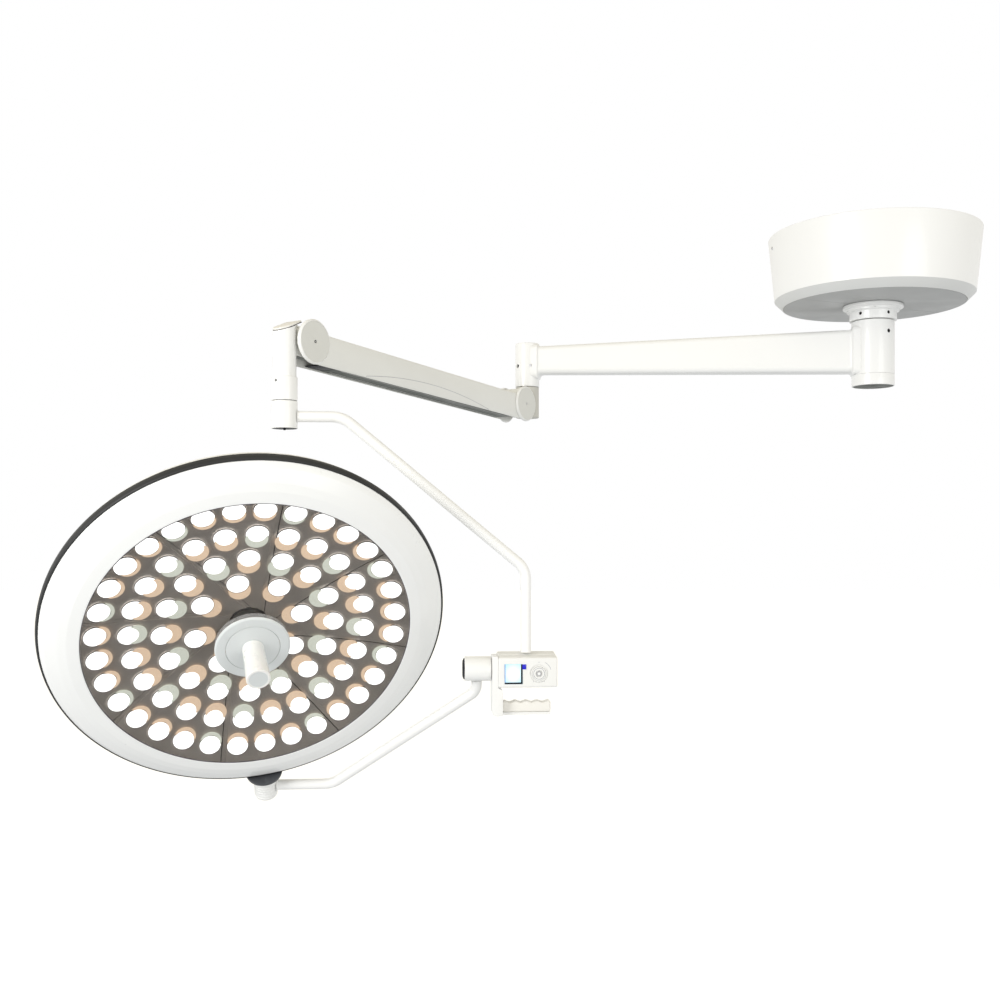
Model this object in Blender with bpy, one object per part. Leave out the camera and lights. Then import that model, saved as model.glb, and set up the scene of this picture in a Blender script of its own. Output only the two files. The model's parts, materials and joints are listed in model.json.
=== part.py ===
"""Ceiling-mounted surgical operating light: canopy, swivelling arm, sprung arm, yoke and LED dome.

Metres, +Z up. The origin is the centre of the ceiling plate's top face. Each moving group hangs
from an empty on its joint, so the rest pose is set by the angles below and nothing else.
"""

from math import asin, cos, degrees, pi, radians, sin, tan

import bmesh
import bpy
from mathutils import Vector

GAP = 0.0003  # between pieces that touch
RUN = 0.0006  # radial running clearance of a shaft in its bore

# Rest pose
ARM_YAW = radians(168.1)  # horizontal arm, from +X
KNUCKLE_BEND = radians(68.2)  # spring arm, from the horizontal arm's direction
LIFT = radians(3.6)  # spring arm above the horizontal
YOKE_TURN = radians(128.0)  # yoke, from the spring arm's direction
YOKE_TILT = radians(33.2)  # lower yoke, out of the vertical
HEAD_TURN = radians(13.0)  # lamp head about the boot's axis

# Ceiling mount
PLATE_R = 0.120
PLATE_T = 0.012
PLATE_BOLT_R = 0.095
PLATE_HOLE_R = 0.007
CANOPY_TOP_R = 0.232
CANOPY_LOW_R = 0.218
CANOPY_FLOOR_R = 0.199
CANOPY_TOP_Z = -0.003
CANOPY_LOW_Z = -0.143
CANOPY_FLOOR_Z = -0.1615
CANOPY_WALL = 0.0025
FLOOR_SEAM = radians(23)
DROP_TUBE_R = 0.045
COLLAR_R = 0.0515
COLLAR_END_Z = -0.1965
SPINDLE_R = 0.028
SUPPLY_LOW = (0.056, -0.035, -0.058)
SUPPLY_END_X = 0.205

# Horizontal arm
ARM_LENGTH = 0.800
HUB_R = 0.047
HUB_TOP_Z = -0.198
HUB_SEAM_Z = -0.319
HUB_END_Z = -0.345
HUB_BORE_R = 0.036
ARM_END_R = 0.029
ARM_END_TOP_Z = -0.221
ARM_END_LOW_Z = -0.3255
KNUCKLE_SHAFT_R = 0.018

# Knuckle and spring arm
KNUCKLE_R = 0.028
KNUCKLE_LOW_Z = -0.400
KNUCKLE_REACH = 0.0538  # knuckle axis to the near pivot
PIVOT_Z = -0.372
SPRING_ARM_LENGTH = 0.724
NEAR_R = 0.0375
FAR_R = 0.0395
COVER_Y = 0.0270
COVER_WALL = 0.0025
DISC_R = 0.0413
DISC_T = 0.0054
DISC_FACE_R = 0.0370
TONGUE_Y = (-0.0030, 0.0142)
PIN_R = 0.008
ROD_OFFSET = -0.020  # level rod below the arm's pivots
ROD_Y = (-0.0230, -0.0150)
ROD_PIN_R = 0.0025
ROD_R = 0.0052
ARM_TOP_Z = 0.0193
ARM_FILLET_R = 0.035  # where the arm's top rises to its round ends

# Head bracket and yoke; heights here are below the far pivot
BRACKET_REACH = 0.0468
COLUMN_R = 0.0212
COLUMN_TOP_Z = 0.022
COLLAR_TOP_Z = -0.0683
SWIVEL_R = 0.0235
SWIVEL_SEAM_Z = -0.1108
SWIVEL_LOW_Z = -0.1613
SWIVEL_SHAFT_R = 0.014
TUBE_R = 0.010
UPPER_TUBE_Z = -0.1393
UPPER_TUBE_BEND = (0.1045, 0.4390)  # where the tube turns down, and where it turns upright
UPPER_TUBE_LOW_BEND_Z = -0.4168
HINGE_Z = -0.5995
HEAD_AXIS_X = -0.055  # lamp head's axis, from the yoke's swivel axis

# Control box, in the yoke's frame
BOX_X = (0.3865, 0.4945)
BOX_Y = (-0.030, 0.026)
BOX_SPLIT_Y = -0.004
BOX_TOP_Z = -0.5703
BOX_FRONT_TOP_Z = -0.5768
BOX_LOW_Z = -0.6313
BOX_WALL = 0.0025
SCREEN_X = (0.3980, 0.4305)
SCREEN_Z = (-0.6247, -0.5888)
PAD_CENTRE = (0.4605, -0.6061)
BUTTON_R = 0.0045
KEY_R = (0.0062, 0.0125)
KEY_PROUD = 0.0010
BRACKET_X = (0.3757, 0.3860)
BRACKET_Y = (-0.0285, 0.0200)
BRACKET_FOOT_X = 0.3950  # the plate is wider below the box
GRIP_X = (0.3955, 0.4840)
GRIP_Z = (-0.6783, -0.6583)
GRIP_Y = 0.0125

# Lower yoke, in the tilting frame: X along the hinge, Z up the boot's axis
BARREL_X = (0.381, 0.4295)
BARREL_R = 0.0225
HINGE_SHAFT_R = 0.010
LOWER_TUBE_X = 0.4045
LOWER_TUBE_BENDS = ((0.4045, -0.0542), (0.129, -0.2895))
HEAD_RISE = 0.0955  # hinge axis up to the head's centre
SOCKET_R = 0.0222
SOCKET_S = (0.3600, 0.4065)  # along the boot's axis, from the head's centre

# Lamp head, turned about the axis out of its face
HEAD_R = 0.350
RING_OUT_R = 0.3450
PLATE_EDGE_R = 0.2800
LENS_Z = (0.0355, 0.0385)
HUB_DISC_R = 0.0645
HUB_DISC_Z = (0.0500, 0.0560)
FOCUS_R = 0.0460
HANDLE_Z = (0.0566, 0.1400)
HANDLE_R = (0.0178, 0.0203)
BOOT_R = 0.0345
HEAD_SIDES = 44

WHITE = ("white_enamel", (0.93, 0.93, 0.91), 0.30, 0.0)
CREAM = ("cream_enamel", (0.80, 0.80, 0.76), 0.40, 0.0)
GREY = ("grey_disc", (0.66, 0.66, 0.62), 0.45, 0.0)
DARK = ("dark_trim", (0.07, 0.07, 0.075), 0.55, 0.0)
STEEL = ("bright_steel", (0.62, 0.62, 0.63), 0.30, 1.0)
SMOKE = ("smoked_lens", (0.12, 0.11, 0.10), 0.15, 0.0)
CLEAR = ("clear_collar", (0.55, 0.55, 0.55), 0.10, 0.0)
SCREEN = ("screen_glass", (0.55, 0.75, 0.95), 0.10, 0.0)
BOARD = ("circuit_board", (0.05, 0.25, 0.12), 0.50, 0.0)


def clear_scene():
    for obj in list(bpy.data.objects):
        bpy.data.objects.remove(obj, do_unlink=True)


def material(spec):
    name, colour, roughness, metallic = spec
    found = bpy.data.materials.get(name)
    if found:
        return found
    made = bpy.data.materials.new(name)
    made.use_nodes = True
    shader = made.node_tree.nodes["Principled BSDF"]
    shader.inputs["Base Color"].default_value = (*colour, 1.0)
    shader.inputs["Roughness"].default_value = roughness
    shader.inputs["Metallic"].default_value = metallic
    return made


def frame(name, parent=None, location=(0, 0, 0), rotation=(0, 0, 0)):
    """An empty on a joint, which carries everything that moves with it."""
    empty = bpy.data.objects.new(name, None)
    bpy.context.scene.collection.objects.link(empty)
    empty.parent = parent
    empty.location = location
    empty.rotation_euler = rotation
    return empty


def add(name, bm, finish, parent=None, location=(0, 0, 0), rotation=(0, 0, 0)):
    bmesh.ops.recalc_face_normals(bm, faces=bm.faces)
    mesh = bpy.data.meshes.new(name)
    bm.to_mesh(mesh)
    bm.free()
    mesh.shade_smooth()
    mesh.set_sharp_from_angle(angle=radians(35))
    obj = bpy.data.objects.new(name, mesh)
    bpy.context.scene.collection.objects.link(obj)
    obj.parent = parent
    obj.location = location
    obj.rotation_euler = rotation
    if finish:
        mesh.materials.append(material(finish))
    return obj


def helper(obj):
    obj.hide_render = True
    obj.display_type = "WIRE"
    return obj


def boolean(obj, other, operation):
    """The arm casting's many cuts through ring-shaped faces stay closed only with MANIFOLD."""
    step = obj.modifiers.new(f"{operation.lower()} {other.name}", "BOOLEAN")
    step.operation = operation
    step.solver = "MANIFOLD" if obj.name == "arm_casting" else "EXACT"
    step.object = helper(other)


def cut(obj, *cutters):
    for cutter in cutters:
        boolean(obj, cutter, "DIFFERENCE")


def join(obj, *others):
    for other in others:
        boolean(obj, other, "UNION")


def bevel(obj, width, segments=2, angle=40):
    step = obj.modifiers.new("rounded edges", "BEVEL")
    step.width = width
    step.segments = segments
    step.angle_limit = radians(angle)


def turned(profile, segments=24):
    """A profile of (radius, height) turned about Z. It closes itself unless both ends lie on Z."""
    bm = bmesh.new()
    verts = [bm.verts.new((r, 0, z)) for r, z in profile]
    on_axis = profile[0][0] == 0 and profile[-1][0] == 0
    ends = verts[1:] if on_axis else verts[1:] + verts[:1]
    edges = [bm.edges.new(pair) for pair in zip(verts, ends)]
    bmesh.ops.spin(
        bm, geom=verts + edges, axis=(0, 0, 1), angle=2 * pi, steps=segments, use_merge=True
    )
    bmesh.ops.remove_doubles(bm, verts=bm.verts, dist=1e-6)
    return bm


def rod(radius, low, high, segments=24):
    return turned([(0, low), (radius, low), (radius, high), (0, high)], segments)


def sleeve(inner, outer, low, high, segments=24):
    return turned([(inner, low), (outer, low), (outer, high), (inner, high)], segments)


def block(low, high):
    bm = bmesh.new()
    bmesh.ops.create_cube(bm, size=1)
    for vert in bm.verts:
        vert.co = [lo if c < 0 else hi for c, lo, hi in zip(vert.co, low, high)]
    return bm


def prism(outline, low, high, axis="Y"):
    """An outline drawn in the two other axes, drawn out along axis from low to high."""
    bm = bmesh.new()
    place = {"X": lambda a, b, c: (c, a, b), "Y": lambda a, b, c: (a, c, b), "Z": lambda a, b, c: (a, b, c)}
    face = bm.faces.new([bm.verts.new(place[axis](a, b, low)) for a, b in outline])
    made = bmesh.ops.extrude_face_region(bm, geom=[face])["geom"]
    step = Vector(place[axis](0, 0, high - low))
    bmesh.ops.translate(bm, verts=[v for v in made if isinstance(v, bmesh.types.BMVert)], vec=step)
    return bm


def arc(centre, radius, start, end, steps):
    """Points in degrees from start to end, both included."""
    turns = [radians(start + (end - start) * i / steps) for i in range(steps + 1)]
    return [(centre[0] + radius * cos(t), centre[1] + radius * sin(t)) for t in turns]


def rounded_route(corners, radii, steps=5):
    """A polyline in X and Z whose inner corners are arcs of the given radii."""
    points = [Vector((corners[0][0], 0, corners[0][1]))]
    for before, corner, after, radius in zip(corners, corners[1:], corners[2:], radii):
        at = Vector((corner[0], 0, corner[1]))
        back = (Vector((before[0], 0, before[1])) - at).normalized()
        ahead = (Vector((after[0], 0, after[1])) - at).normalized()
        half = back.angle(ahead) / 2
        centre = at + (back + ahead).normalized() * radius / sin(half)
        first = (at + back * radius / tan(half) - centre).normalized()
        last = (at + ahead * radius / tan(half) - centre).normalized()
        points += [centre + first.slerp(last, i / steps) * radius for i in range(steps + 1)]
    points.append(Vector((corners[-1][0], 0, corners[-1][1])))
    return points


def bent_tube(name, route, radius, finish, parent):
    curve = bpy.data.curves.new(name, "CURVE")
    curve.dimensions = "3D"
    curve.bevel_depth = radius
    curve.bevel_resolution = 2
    curve.use_fill_caps = True
    spline = curve.splines.new("POLY")
    spline.points.add(len(route) - 1)
    for point, place in zip(spline.points, route):
        point.co = (*place, 1)
    curve.materials.append(material(finish))
    obj = bpy.data.objects.new(name, curve)
    bpy.context.scene.collection.objects.link(obj)
    obj.parent = parent
    return obj


def radial_screw(name, carrier, parent, radius, bearing, height, size, finish=STEEL):
    """A set screw let into a round wall, pointing along bearing, with its hole in carrier."""
    reach = (radius - 0.006, radius + 0.0006)
    turn = (0, pi / 2, bearing)
    screw = add(name, rod(size, *reach, 12), finish, parent, (0, 0, height), turn)
    hole = rod(size + GAP, reach[0] - GAP, radius + 0.01, 12)
    cut(carrier, add(f"{name}_hole", hole, None, parent, (0, 0, height), turn))
    return screw


# Ceiling mount ------------------------------------------------------------------------------


def ceiling_plate():
    plate = add("ceiling_plate", rod(PLATE_R, -PLATE_T, 0, 30), STEEL)
    for i in range(6):
        turn = radians(30 + 60 * i)
        spot = (PLATE_BOLT_R * cos(turn), PLATE_BOLT_R * sin(turn), 0)
        cut(plate, add(f"bolt_hole_{i + 1}", rod(PLATE_HOLE_R, -0.02, 0.01, 8), None, None, spot))


def canopy():
    lip = CANOPY_FLOOR_R - 0.0008
    outer = [
        (CANOPY_TOP_R, CANOPY_TOP_Z),
        (CANOPY_LOW_R, CANOPY_LOW_Z),
        (CANOPY_FLOOR_R, CANOPY_FLOOR_Z),
    ]
    inner = [
        (lip, CANOPY_FLOOR_Z + 0.0024),
        (CANOPY_LOW_R - CANOPY_WALL, CANOPY_LOW_Z + 0.0012),
        (CANOPY_TOP_R - CANOPY_WALL, CANOPY_TOP_Z),
    ]
    add("canopy_shell", turned(outer + inner, 40), WHITE)
    floor_r = lip - 0.0008
    hole_r = DROP_TUBE_R + 0.0010
    floor = (CANOPY_FLOOR_Z + 0.0002, CANOPY_FLOOR_Z + 0.0022)
    for name, side in (("canopy_floor_front", 180), ("canopy_floor_back", 0)):
        rim = arc((0, 0), floor_r, side, side + 180, 26)
        hole = arc((0, 0), hole_r, side + 180, side, 14)
        half = add(name, prism(rim + hole, *floor, axis="Z"), CREAM)
        away = GAP if side == 0 else -GAP
        half.rotation_euler.z = FLOOR_SEAM
        half.location = (-away * sin(FLOOR_SEAM), away * cos(FLOOR_SEAM), 0)
    low, high = SUPPLY_LOW, (SUPPLY_END_X, -SUPPLY_LOW[1], -PLATE_T - GAP)
    supply = add("power_supply", block(low, high), STEEL)
    bevel(supply, 0.002, 1)


def drop_flange():
    """The tube under the plate, with the stepped ring that closes the canopy's floor."""
    steps = [
        (SPINDLE_R + GAP, -PLATE_T - GAP),
        (DROP_TUBE_R, -PLATE_T - GAP),
        (DROP_TUBE_R, CANOPY_FLOOR_Z - 0.0004),
        (0.0660, CANOPY_FLOOR_Z - 0.0004),
        (0.0660, -0.1685),
        (0.0575, -0.1705),
        (0.0575, -0.1760),
        (COLLAR_R, -0.1775),
        (COLLAR_R, COLLAR_END_Z),
        (SPINDLE_R + GAP, COLLAR_END_Z),
    ]
    add("drop_flange", turned(steps, 28), WHITE)
    add("spindle", rod(SPINDLE_R, HUB_SEAM_Z + 0.006, -0.060, 24), STEEL)


# Horizontal arm -----------------------------------------------------------------------------


def arm_casting(parent):
    """A tapered beam with a round hub at one end and a round socket at the other."""
    bm = block((0.030, -0.5, -0.5), (ARM_LENGTH - 0.012, 0.5, 0.5))
    for vert in bm.verts:
        at_hub = vert.co.x < ARM_LENGTH / 2
        half = 0.031 if at_hub else 0.024
        low, high = (-0.314, -0.217) if at_hub else (-0.295, -0.2295)
        vert.co.y = half if vert.co.y > 0 else -half
        vert.co.z = high if vert.co.z > 0 else low
    casting = add("arm_casting", bm, WHITE, parent)
    bevel(casting, 0.010, 3)
    hub = rod(HUB_R, HUB_SEAM_Z, HUB_TOP_Z, 28)
    end = rod(ARM_END_R, ARM_END_LOW_Z, ARM_END_TOP_Z)
    join(casting, add("hub_blank", hub, None, parent))
    join(casting, add("end_blank", end, None, parent, (ARM_LENGTH, 0, 0)))
    hollow = block((HUB_BORE_R * 0.8, -0.5, -0.5), (ARM_LENGTH - 0.012, 0.5, 0.5))
    for vert in hollow.verts:
        at_hub = vert.co.x < ARM_LENGTH / 2
        half = 0.026 if at_hub else 0.015
        low, high = (-0.308, -0.223) if at_hub else (-0.288, -0.2365)
        vert.co.y = half if vert.co.y > 0 else -half
        vert.co.z = high if vert.co.z > 0 else low
    cut(casting, add("beam_hollow", hollow, None, parent))
    cut(casting, add("hub_bore", rod(HUB_BORE_R, HUB_SEAM_Z - 0.01, HUB_TOP_Z + 0.01, 24), None, parent))
    socket = rod(KNUCKLE_SHAFT_R + RUN, ARM_END_LOW_Z - 0.01, ARM_END_TOP_Z - 0.012)
    cut(casting, add("end_bore", socket, None, parent, (ARM_LENGTH, 0, 0)))
    return casting


def horizontal_arm(parent):
    casting = arm_casting(parent)
    cap = [
        (0, HUB_END_Z + 0.0035),
        (HUB_R - 0.0045, HUB_END_Z + 0.0035),
        (HUB_R - 0.0040, HUB_END_Z),
        (HUB_R, HUB_END_Z + 0.0012),
        (HUB_R, HUB_SEAM_Z - GAP),
        (HUB_R - 0.004, HUB_SEAM_Z - GAP),
        (HUB_R - 0.004, HUB_END_Z + 0.0075),
        (0, HUB_END_Z + 0.0075),
    ]
    add("hub_end_cap", turned(cap, 28), WHITE, parent)
    for name, top in (("upper_bearing", HUB_TOP_Z - 0.004), ("lower_bearing", HUB_SEAM_Z + 0.024)):
        race = sleeve(SPINDLE_R + RUN, HUB_BORE_R - GAP, top - 0.014, top)
        add(name, race, STEEL, parent)
    radial_screw("brake_screw", casting, parent, HUB_R, radians(129.5), -0.2246, 0.0032)
    end = frame("arm_end_screws", parent, (ARM_LENGTH, 0, 0))
    for name, bearing in (("end_screw_left", 47), ("end_screw_right", 115)):
        radial_screw(name, casting, end, ARM_END_R, radians(bearing), -0.2763, 0.0024)


# Knuckle and spring arm -----------------------------------------------------------------------


def tongue(name, reach, low, high, parent):
    """A flat lug that ends round on a pivot at x = 0, and runs to x = reach."""
    side = 1 if reach > 0 else -1
    ends = arc((0, 0), 0.031, 90, 90 + 180 * side, 10)
    outline = ends + [(reach, low), (reach, high)]
    return add(name, prism(outline, *TONGUE_Y), None, parent)


def pivot_bores(piece, parent, y=0.05):
    bore = rod(PIN_R + GAP, -y, y, 16)
    cut(piece, add(f"{piece.name}_bore", bore, None, parent, rotation=(pi / 2, 0, 0)))


def rod_stub(piece, parent):
    """The short pin that the level rod's eye turns on."""
    stub = rod(ROD_PIN_R, -TONGUE_Y[0] - 0.004, -ROD_Y[0], 12)
    join(piece, add(f"{piece.name}_stub", stub, None, parent, (0, 0, ROD_OFFSET), (pi / 2, 0, 0)))


def knuckle(parent, pivot):
    add("knuckle_spindle", rod(KNUCKLE_SHAFT_R, -0.350, ARM_END_TOP_Z - 0.014), STEEL, parent)
    body = rod(KNUCKLE_R, KNUCKLE_LOW_Z, ARM_END_LOW_Z - 0.0010, 28)
    piece = add("knuckle_block", body, GREY, parent)
    low, high = (z - PIVOT_Z for z in (KNUCKLE_LOW_Z + 0.002, ARM_END_LOW_Z - 0.003))
    for side, (near, far) in (("left", (-0.05, TONGUE_Y[0])), ("right", (TONGUE_Y[1], 0.05))):
        room = rod(DISC_R + 0.0008, -far, -near, 32)
        cut(piece, add(f"knuckle_room_{side}", room, None, pivot, rotation=(pi / 2, 0, 0)))
    join(piece, tongue("knuckle_tongue", -KNUCKLE_REACH, low, high, pivot))
    well = rod(KNUCKLE_SHAFT_R + GAP, -0.350 - GAP, -0.30)
    cut(piece, add("knuckle_well", well, None, parent))
    pivot_bores(piece, pivot)
    rod_stub(piece, pivot)
    pin = rod(PIN_R, -COVER_Y, COVER_Y, 16)
    add("knuckle_pin", pin, STEEL, pivot, rotation=(pi / 2, 0, 0))


def arm_fillet(end_r):
    """How far from the pivot the arm's top starts to rise, and the angle where it meets the end."""
    reach, rise = end_r + ARM_FILLET_R, ARM_TOP_Z + ARM_FILLET_R
    return (reach**2 - rise**2) ** 0.5, degrees(asin(rise / reach))


def arm_side(steps):
    """Outline of the arm's side: round ends, a straight lower edge, and a top that dips between."""
    length, rise = SPRING_ARM_LENGTH, ARM_TOP_Z + ARM_FILLET_R
    (near, near_turn), (far, far_turn) = arm_fillet(NEAR_R), arm_fillet(FAR_R)
    outline = arc((0, 0), NEAR_R, near_turn, 270, steps)
    outline += arc((length, 0), FAR_R, -90, 180 - far_turn, steps)
    outline += arc((length - far, rise), ARM_FILLET_R, -far_turn, -90, steps // 3)
    return outline + arc((near, rise), ARM_FILLET_R, -90, -180 + near_turn, steps // 3)


def arm_edge(start, end, up, inset):
    """Heights of the arm's top or lower edge at start and end, less an inset."""
    slope = (FAR_R - NEAR_R) / SPRING_ARM_LENGTH
    return [ARM_TOP_Z - inset if up else -(NEAR_R + slope * x - inset) for x in (start, end)]


def arm_cover(name, side, parent):
    """One side of the arm: a round-ended plate with a flange along its top and bottom edges."""
    length = SPRING_ARM_LENGTH
    outline = arm_side(14)
    low, high = sorted((side * (COVER_Y - COVER_WALL), side * COVER_Y))
    cover = add(name, prism(outline, low, high), CREAM, parent)
    low, high = sorted((side * GAP, side * (COVER_Y - COVER_WALL / 2)))
    for edge, start, end, up in (("top", 0.052, length - 0.053, True), ("low", 0.046, length - 0.078, False)):
        out = arm_edge(start, end, up, 0)
        back = arm_edge(start, end, up, COVER_WALL)
        strip = [(start, out[0]), (end, out[1]), (end, back[1]), (start, back[0])]
        join(cover, add(f"{name}_{edge}", prism(strip, low, high), None, parent))
    for place, x in (("near", 0), ("far", length)):
        bore = rod(PIN_R + RUN, -0.05, 0.05, 16)
        cut(cover, add(f"{name}_{place}_bore", bore, None, parent, (x, 0, 0), (pi / 2, 0, 0)))
    return cover


def spring_arm(parent):
    length = SPRING_ARM_LENGTH
    for name, side in (("arm_cover_left", -1), ("arm_cover_right", 1)):
        arm_cover(name, side, parent)
    wall, low, high, half = 0.002, -0.0335, -0.006, 0.0135
    channel = [
        (-half, high), (-half, low), (half, low), (half, high),
        (half - wall, high), (half - wall, low + wall), (wall - half, low + wall), (wall - half, high),
    ]
    add("arm_channel", prism(channel, 0.052, length - 0.090, "X"), STEEL, parent)
    spring = sleeve(0.0055, 0.0098, 0.110, 0.520, 16)
    add("lift_spring", spring, STEEL, parent, (0, 0, -0.0215), (0, pi / 2, 0))
    for place, x in (("near", 0), ("far", length)):
        for name, turn in (("left", pi / 2), ("right", -pi / 2)):
            face = [(0, 0), (DISC_R, 0), (DISC_R, DISC_T * 0.3), (DISC_FACE_R, DISC_T), (0, DISC_T)]
            y = (COVER_Y + GAP) * (1 if name == "right" else -1)
            add(f"{place}_disc_{name}", turned(face, 28), GREY, parent, (x, y, 0), (turn, 0, 0))


def level_rod(parent):
    """The parallelogram's other side. It turns on stubs on the knuckle and on the head bracket."""
    length = SPRING_ARM_LENGTH
    outline = arc((0, 0), ROD_R, 90, 270, 8) + arc((length, 0), ROD_R, -90, 90, 8)
    bar = add("level_rod", prism(outline, *ROD_Y), STEEL, parent)
    for x in (0, length):
        eye = rod(ROD_PIN_R + RUN, -0.05, 0.05, 12)
        cut(bar, add(f"rod_eye_{'near' if x == 0 else 'far'}", eye, None, parent, (x, 0, 0), (pi / 2, 0, 0)))


# Head bracket ---------------------------------------------------------------------------------


def head_bracket(pivot, swivel):
    body = rod(COLUMN_R, COLLAR_TOP_Z - 0.002, COLUMN_TOP_Z)
    column = add("bracket_column", body, WHITE, swivel)
    slope = block((-0.06, -0.06, 0), (0.06, 0.06, 0.06))
    cut(column, add("column_top_cut", slope, None, swivel, (0, 0, 0.0165), (0, radians(15), 0)))
    join(column, tongue("bracket_tongue", BRACKET_REACH, -0.026, 0.010, pivot))
    well = rod(SWIVEL_SHAFT_R + GAP, -0.1, -0.045)
    cut(column, add("column_well", well, None, swivel))
    pivot_bores(column, pivot)
    rod_stub(column, pivot)
    lid = rod(COLUMN_R, 0.0003, 0.0035)
    lid = add("bracket_top_cover", lid, CREAM, swivel, (0, 0, 0.0165), (0, radians(15), 0))
    room = block((-0.10, -0.05, -0.05), (-0.0125, 0.05, 0.05))
    cut(lid, add("top_cover_cut", room, None, swivel))
    add("bracket_pin", rod(PIN_R, -COVER_Y, COVER_Y, 16), STEEL, pivot, rotation=(pi / 2, 0, 0))
    collar = sleeve(COLUMN_R + GAP, SWIVEL_R, SWIVEL_SEAM_Z, COLLAR_TOP_Z)
    add("swivel_collar", collar, WHITE, swivel)
    shaft = [
        (0, SWIVEL_LOW_Z + 0.010),
        (SWIVEL_SHAFT_R, SWIVEL_LOW_Z + 0.010),
        (SWIVEL_SHAFT_R, SWIVEL_SEAM_Z + 0.002),
        (COLUMN_R, SWIVEL_SEAM_Z + 0.002),
        (COLUMN_R, COLLAR_TOP_Z - 0.002 - GAP),
        (SWIVEL_SHAFT_R, COLLAR_TOP_Z - 0.002 - GAP),
        (SWIVEL_SHAFT_R, -0.046),
        (0, -0.046),
    ]
    add("swivel_spindle", turned(shaft), STEEL, swivel)


# Upper yoke and its control box ---------------------------------------------------------------


def upper_yoke(parent):
    body = [
        (SWIVEL_SHAFT_R + RUN, SWIVEL_SEAM_Z - 0.0012),
        (SWIVEL_R, SWIVEL_SEAM_Z - 0.0012),
        (SWIVEL_R, SWIVEL_LOW_Z),
        (SWIVEL_R - 0.0032, SWIVEL_LOW_Z),
        (SWIVEL_R - 0.0032, SWIVEL_LOW_Z + 0.0055),
        (SWIVEL_SHAFT_R + RUN, SWIVEL_LOW_Z + 0.0055),
    ]
    add("swivel_sleeve", turned(body), WHITE, parent)
    cap_r = SWIVEL_R - 0.0032 - GAP
    cap = [
        (0, SWIVEL_LOW_Z - 0.0030),
        (0.0022, SWIVEL_LOW_Z - 0.0026),
        (0.0022, SWIVEL_LOW_Z + 0.0010),
        (cap_r, SWIVEL_LOW_Z + 0.0010),
        (cap_r, SWIVEL_LOW_Z + 0.0055 - GAP),
        (0, SWIVEL_LOW_Z + 0.0055 - GAP),
    ]
    add("sleeve_cap", turned(cap), DARK, parent)
    turn, upright = UPPER_TUBE_BEND
    corners = [
        (SWIVEL_R + GAP, UPPER_TUBE_Z),
        (turn, UPPER_TUBE_Z),
        (upright, UPPER_TUBE_LOW_BEND_Z),
        (upright, BOX_TOP_Z + 0.0006),
    ]
    bent_tube("upper_yoke_tube", rounded_route(corners, (0.055, 0.040)), TUBE_R, WHITE, parent)
    control_box(parent)
    handle(parent)
    shaft = rod(HINGE_SHAFT_R, BRACKET_X[0] - 0.040, BRACKET_X[0] - GAP)
    add("hinge_shaft", shaft, STEEL, parent, (0, 0, HINGE_Z), (0, pi / 2, 0))


def box_half(name, front, back, open_side, parent):
    """Half of the control box, hollow, and open towards the other half."""
    def top(y):
        share = (y - BOX_Y[0]) / (BOX_Y[1] - BOX_Y[0])
        return BOX_FRONT_TOP_Z + (BOX_TOP_Z - BOX_FRONT_TOP_Z) * share

    outline = [(front, BOX_LOW_Z), (back, BOX_LOW_Z), (back, top(back)), (front, top(front))]
    shell = add(name, prism(outline, *BOX_X, axis="X"), WHITE, parent)
    inner_front = front - 0.01 if open_side < 0 else front + BOX_WALL
    inner_back = back + 0.01 if open_side > 0 else back - BOX_WALL
    low = (BOX_X[0] + BOX_WALL, inner_front, BOX_LOW_Z + BOX_WALL)
    high = (BOX_X[1] - BOX_WALL, inner_back, BOX_FRONT_TOP_Z - BOX_WALL)
    cut(shell, add(f"{name}_hollow", block(low, high), None, parent))
    return shell


def key_outline(start, end, grow=0.0):
    """A ring segment about the pad's centre."""
    inner, outer = KEY_R[0] - grow, KEY_R[1] + grow
    spread = grow / KEY_R[0] * 180 / pi
    first, last = start - spread, end + spread
    return arc(PAD_CENTRE, outer, first, last, 6) + arc(PAD_CENTRE, inner, last, first, 4)


def control_box(parent):
    front = box_half("box_front", BOX_Y[0], BOX_SPLIT_Y - GAP, 1, parent)
    box_half("box_back", BOX_SPLIT_Y, BOX_Y[1], -1, parent)
    face = BOX_Y[0]
    (x0, x1), (z0, z1) = SCREEN_X, SCREEN_Z
    screen = block((x0, face - 0.0006, z0), (x1, face + 0.0045, z1))
    add("display_screen", screen, SCREEN, parent)
    window = block((x0 - GAP, face - 0.01, z0 - GAP), (x1 + GAP, face + 0.01, z1 + GAP))
    cut(front, add("screen_window", window, None, parent))
    deep = face + 0.0050
    centre = (PAD_CENTRE[0], 0, PAD_CENTRE[1])
    button = rod(BUTTON_R, -deep, KEY_PROUD - face, 20)
    add("power_button", button, GREY, parent, centre, (pi / 2, 0, 0))
    hole = rod(BUTTON_R + 0.0004, -deep - 0.01, 0.01 - face, 20)
    cut(front, add("button_hole", hole, None, parent, centre, (pi / 2, 0, 0)))
    for name, middle in (("key_right", 0), ("key_up", 90), ("key_left", 180), ("key_down", 270)):
        sector = (middle - 36, middle + 36)
        add(name, prism(key_outline(*sector), face - KEY_PROUD, deep), CREAM, parent)
        slot = prism(key_outline(*sector, 0.0004), face - 0.01, deep + 0.01)
        cut(front, add(f"{name}_slot", slot, None, parent))
    low = (BOX_X[0] + 0.005, -0.0205, BOX_LOW_Z + 0.005)
    board = block(low, (BOX_X[1] - 0.005, -0.0189, BOX_FRONT_TOP_Z - 0.005))
    add("control_board", board, BOARD, parent)


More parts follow.
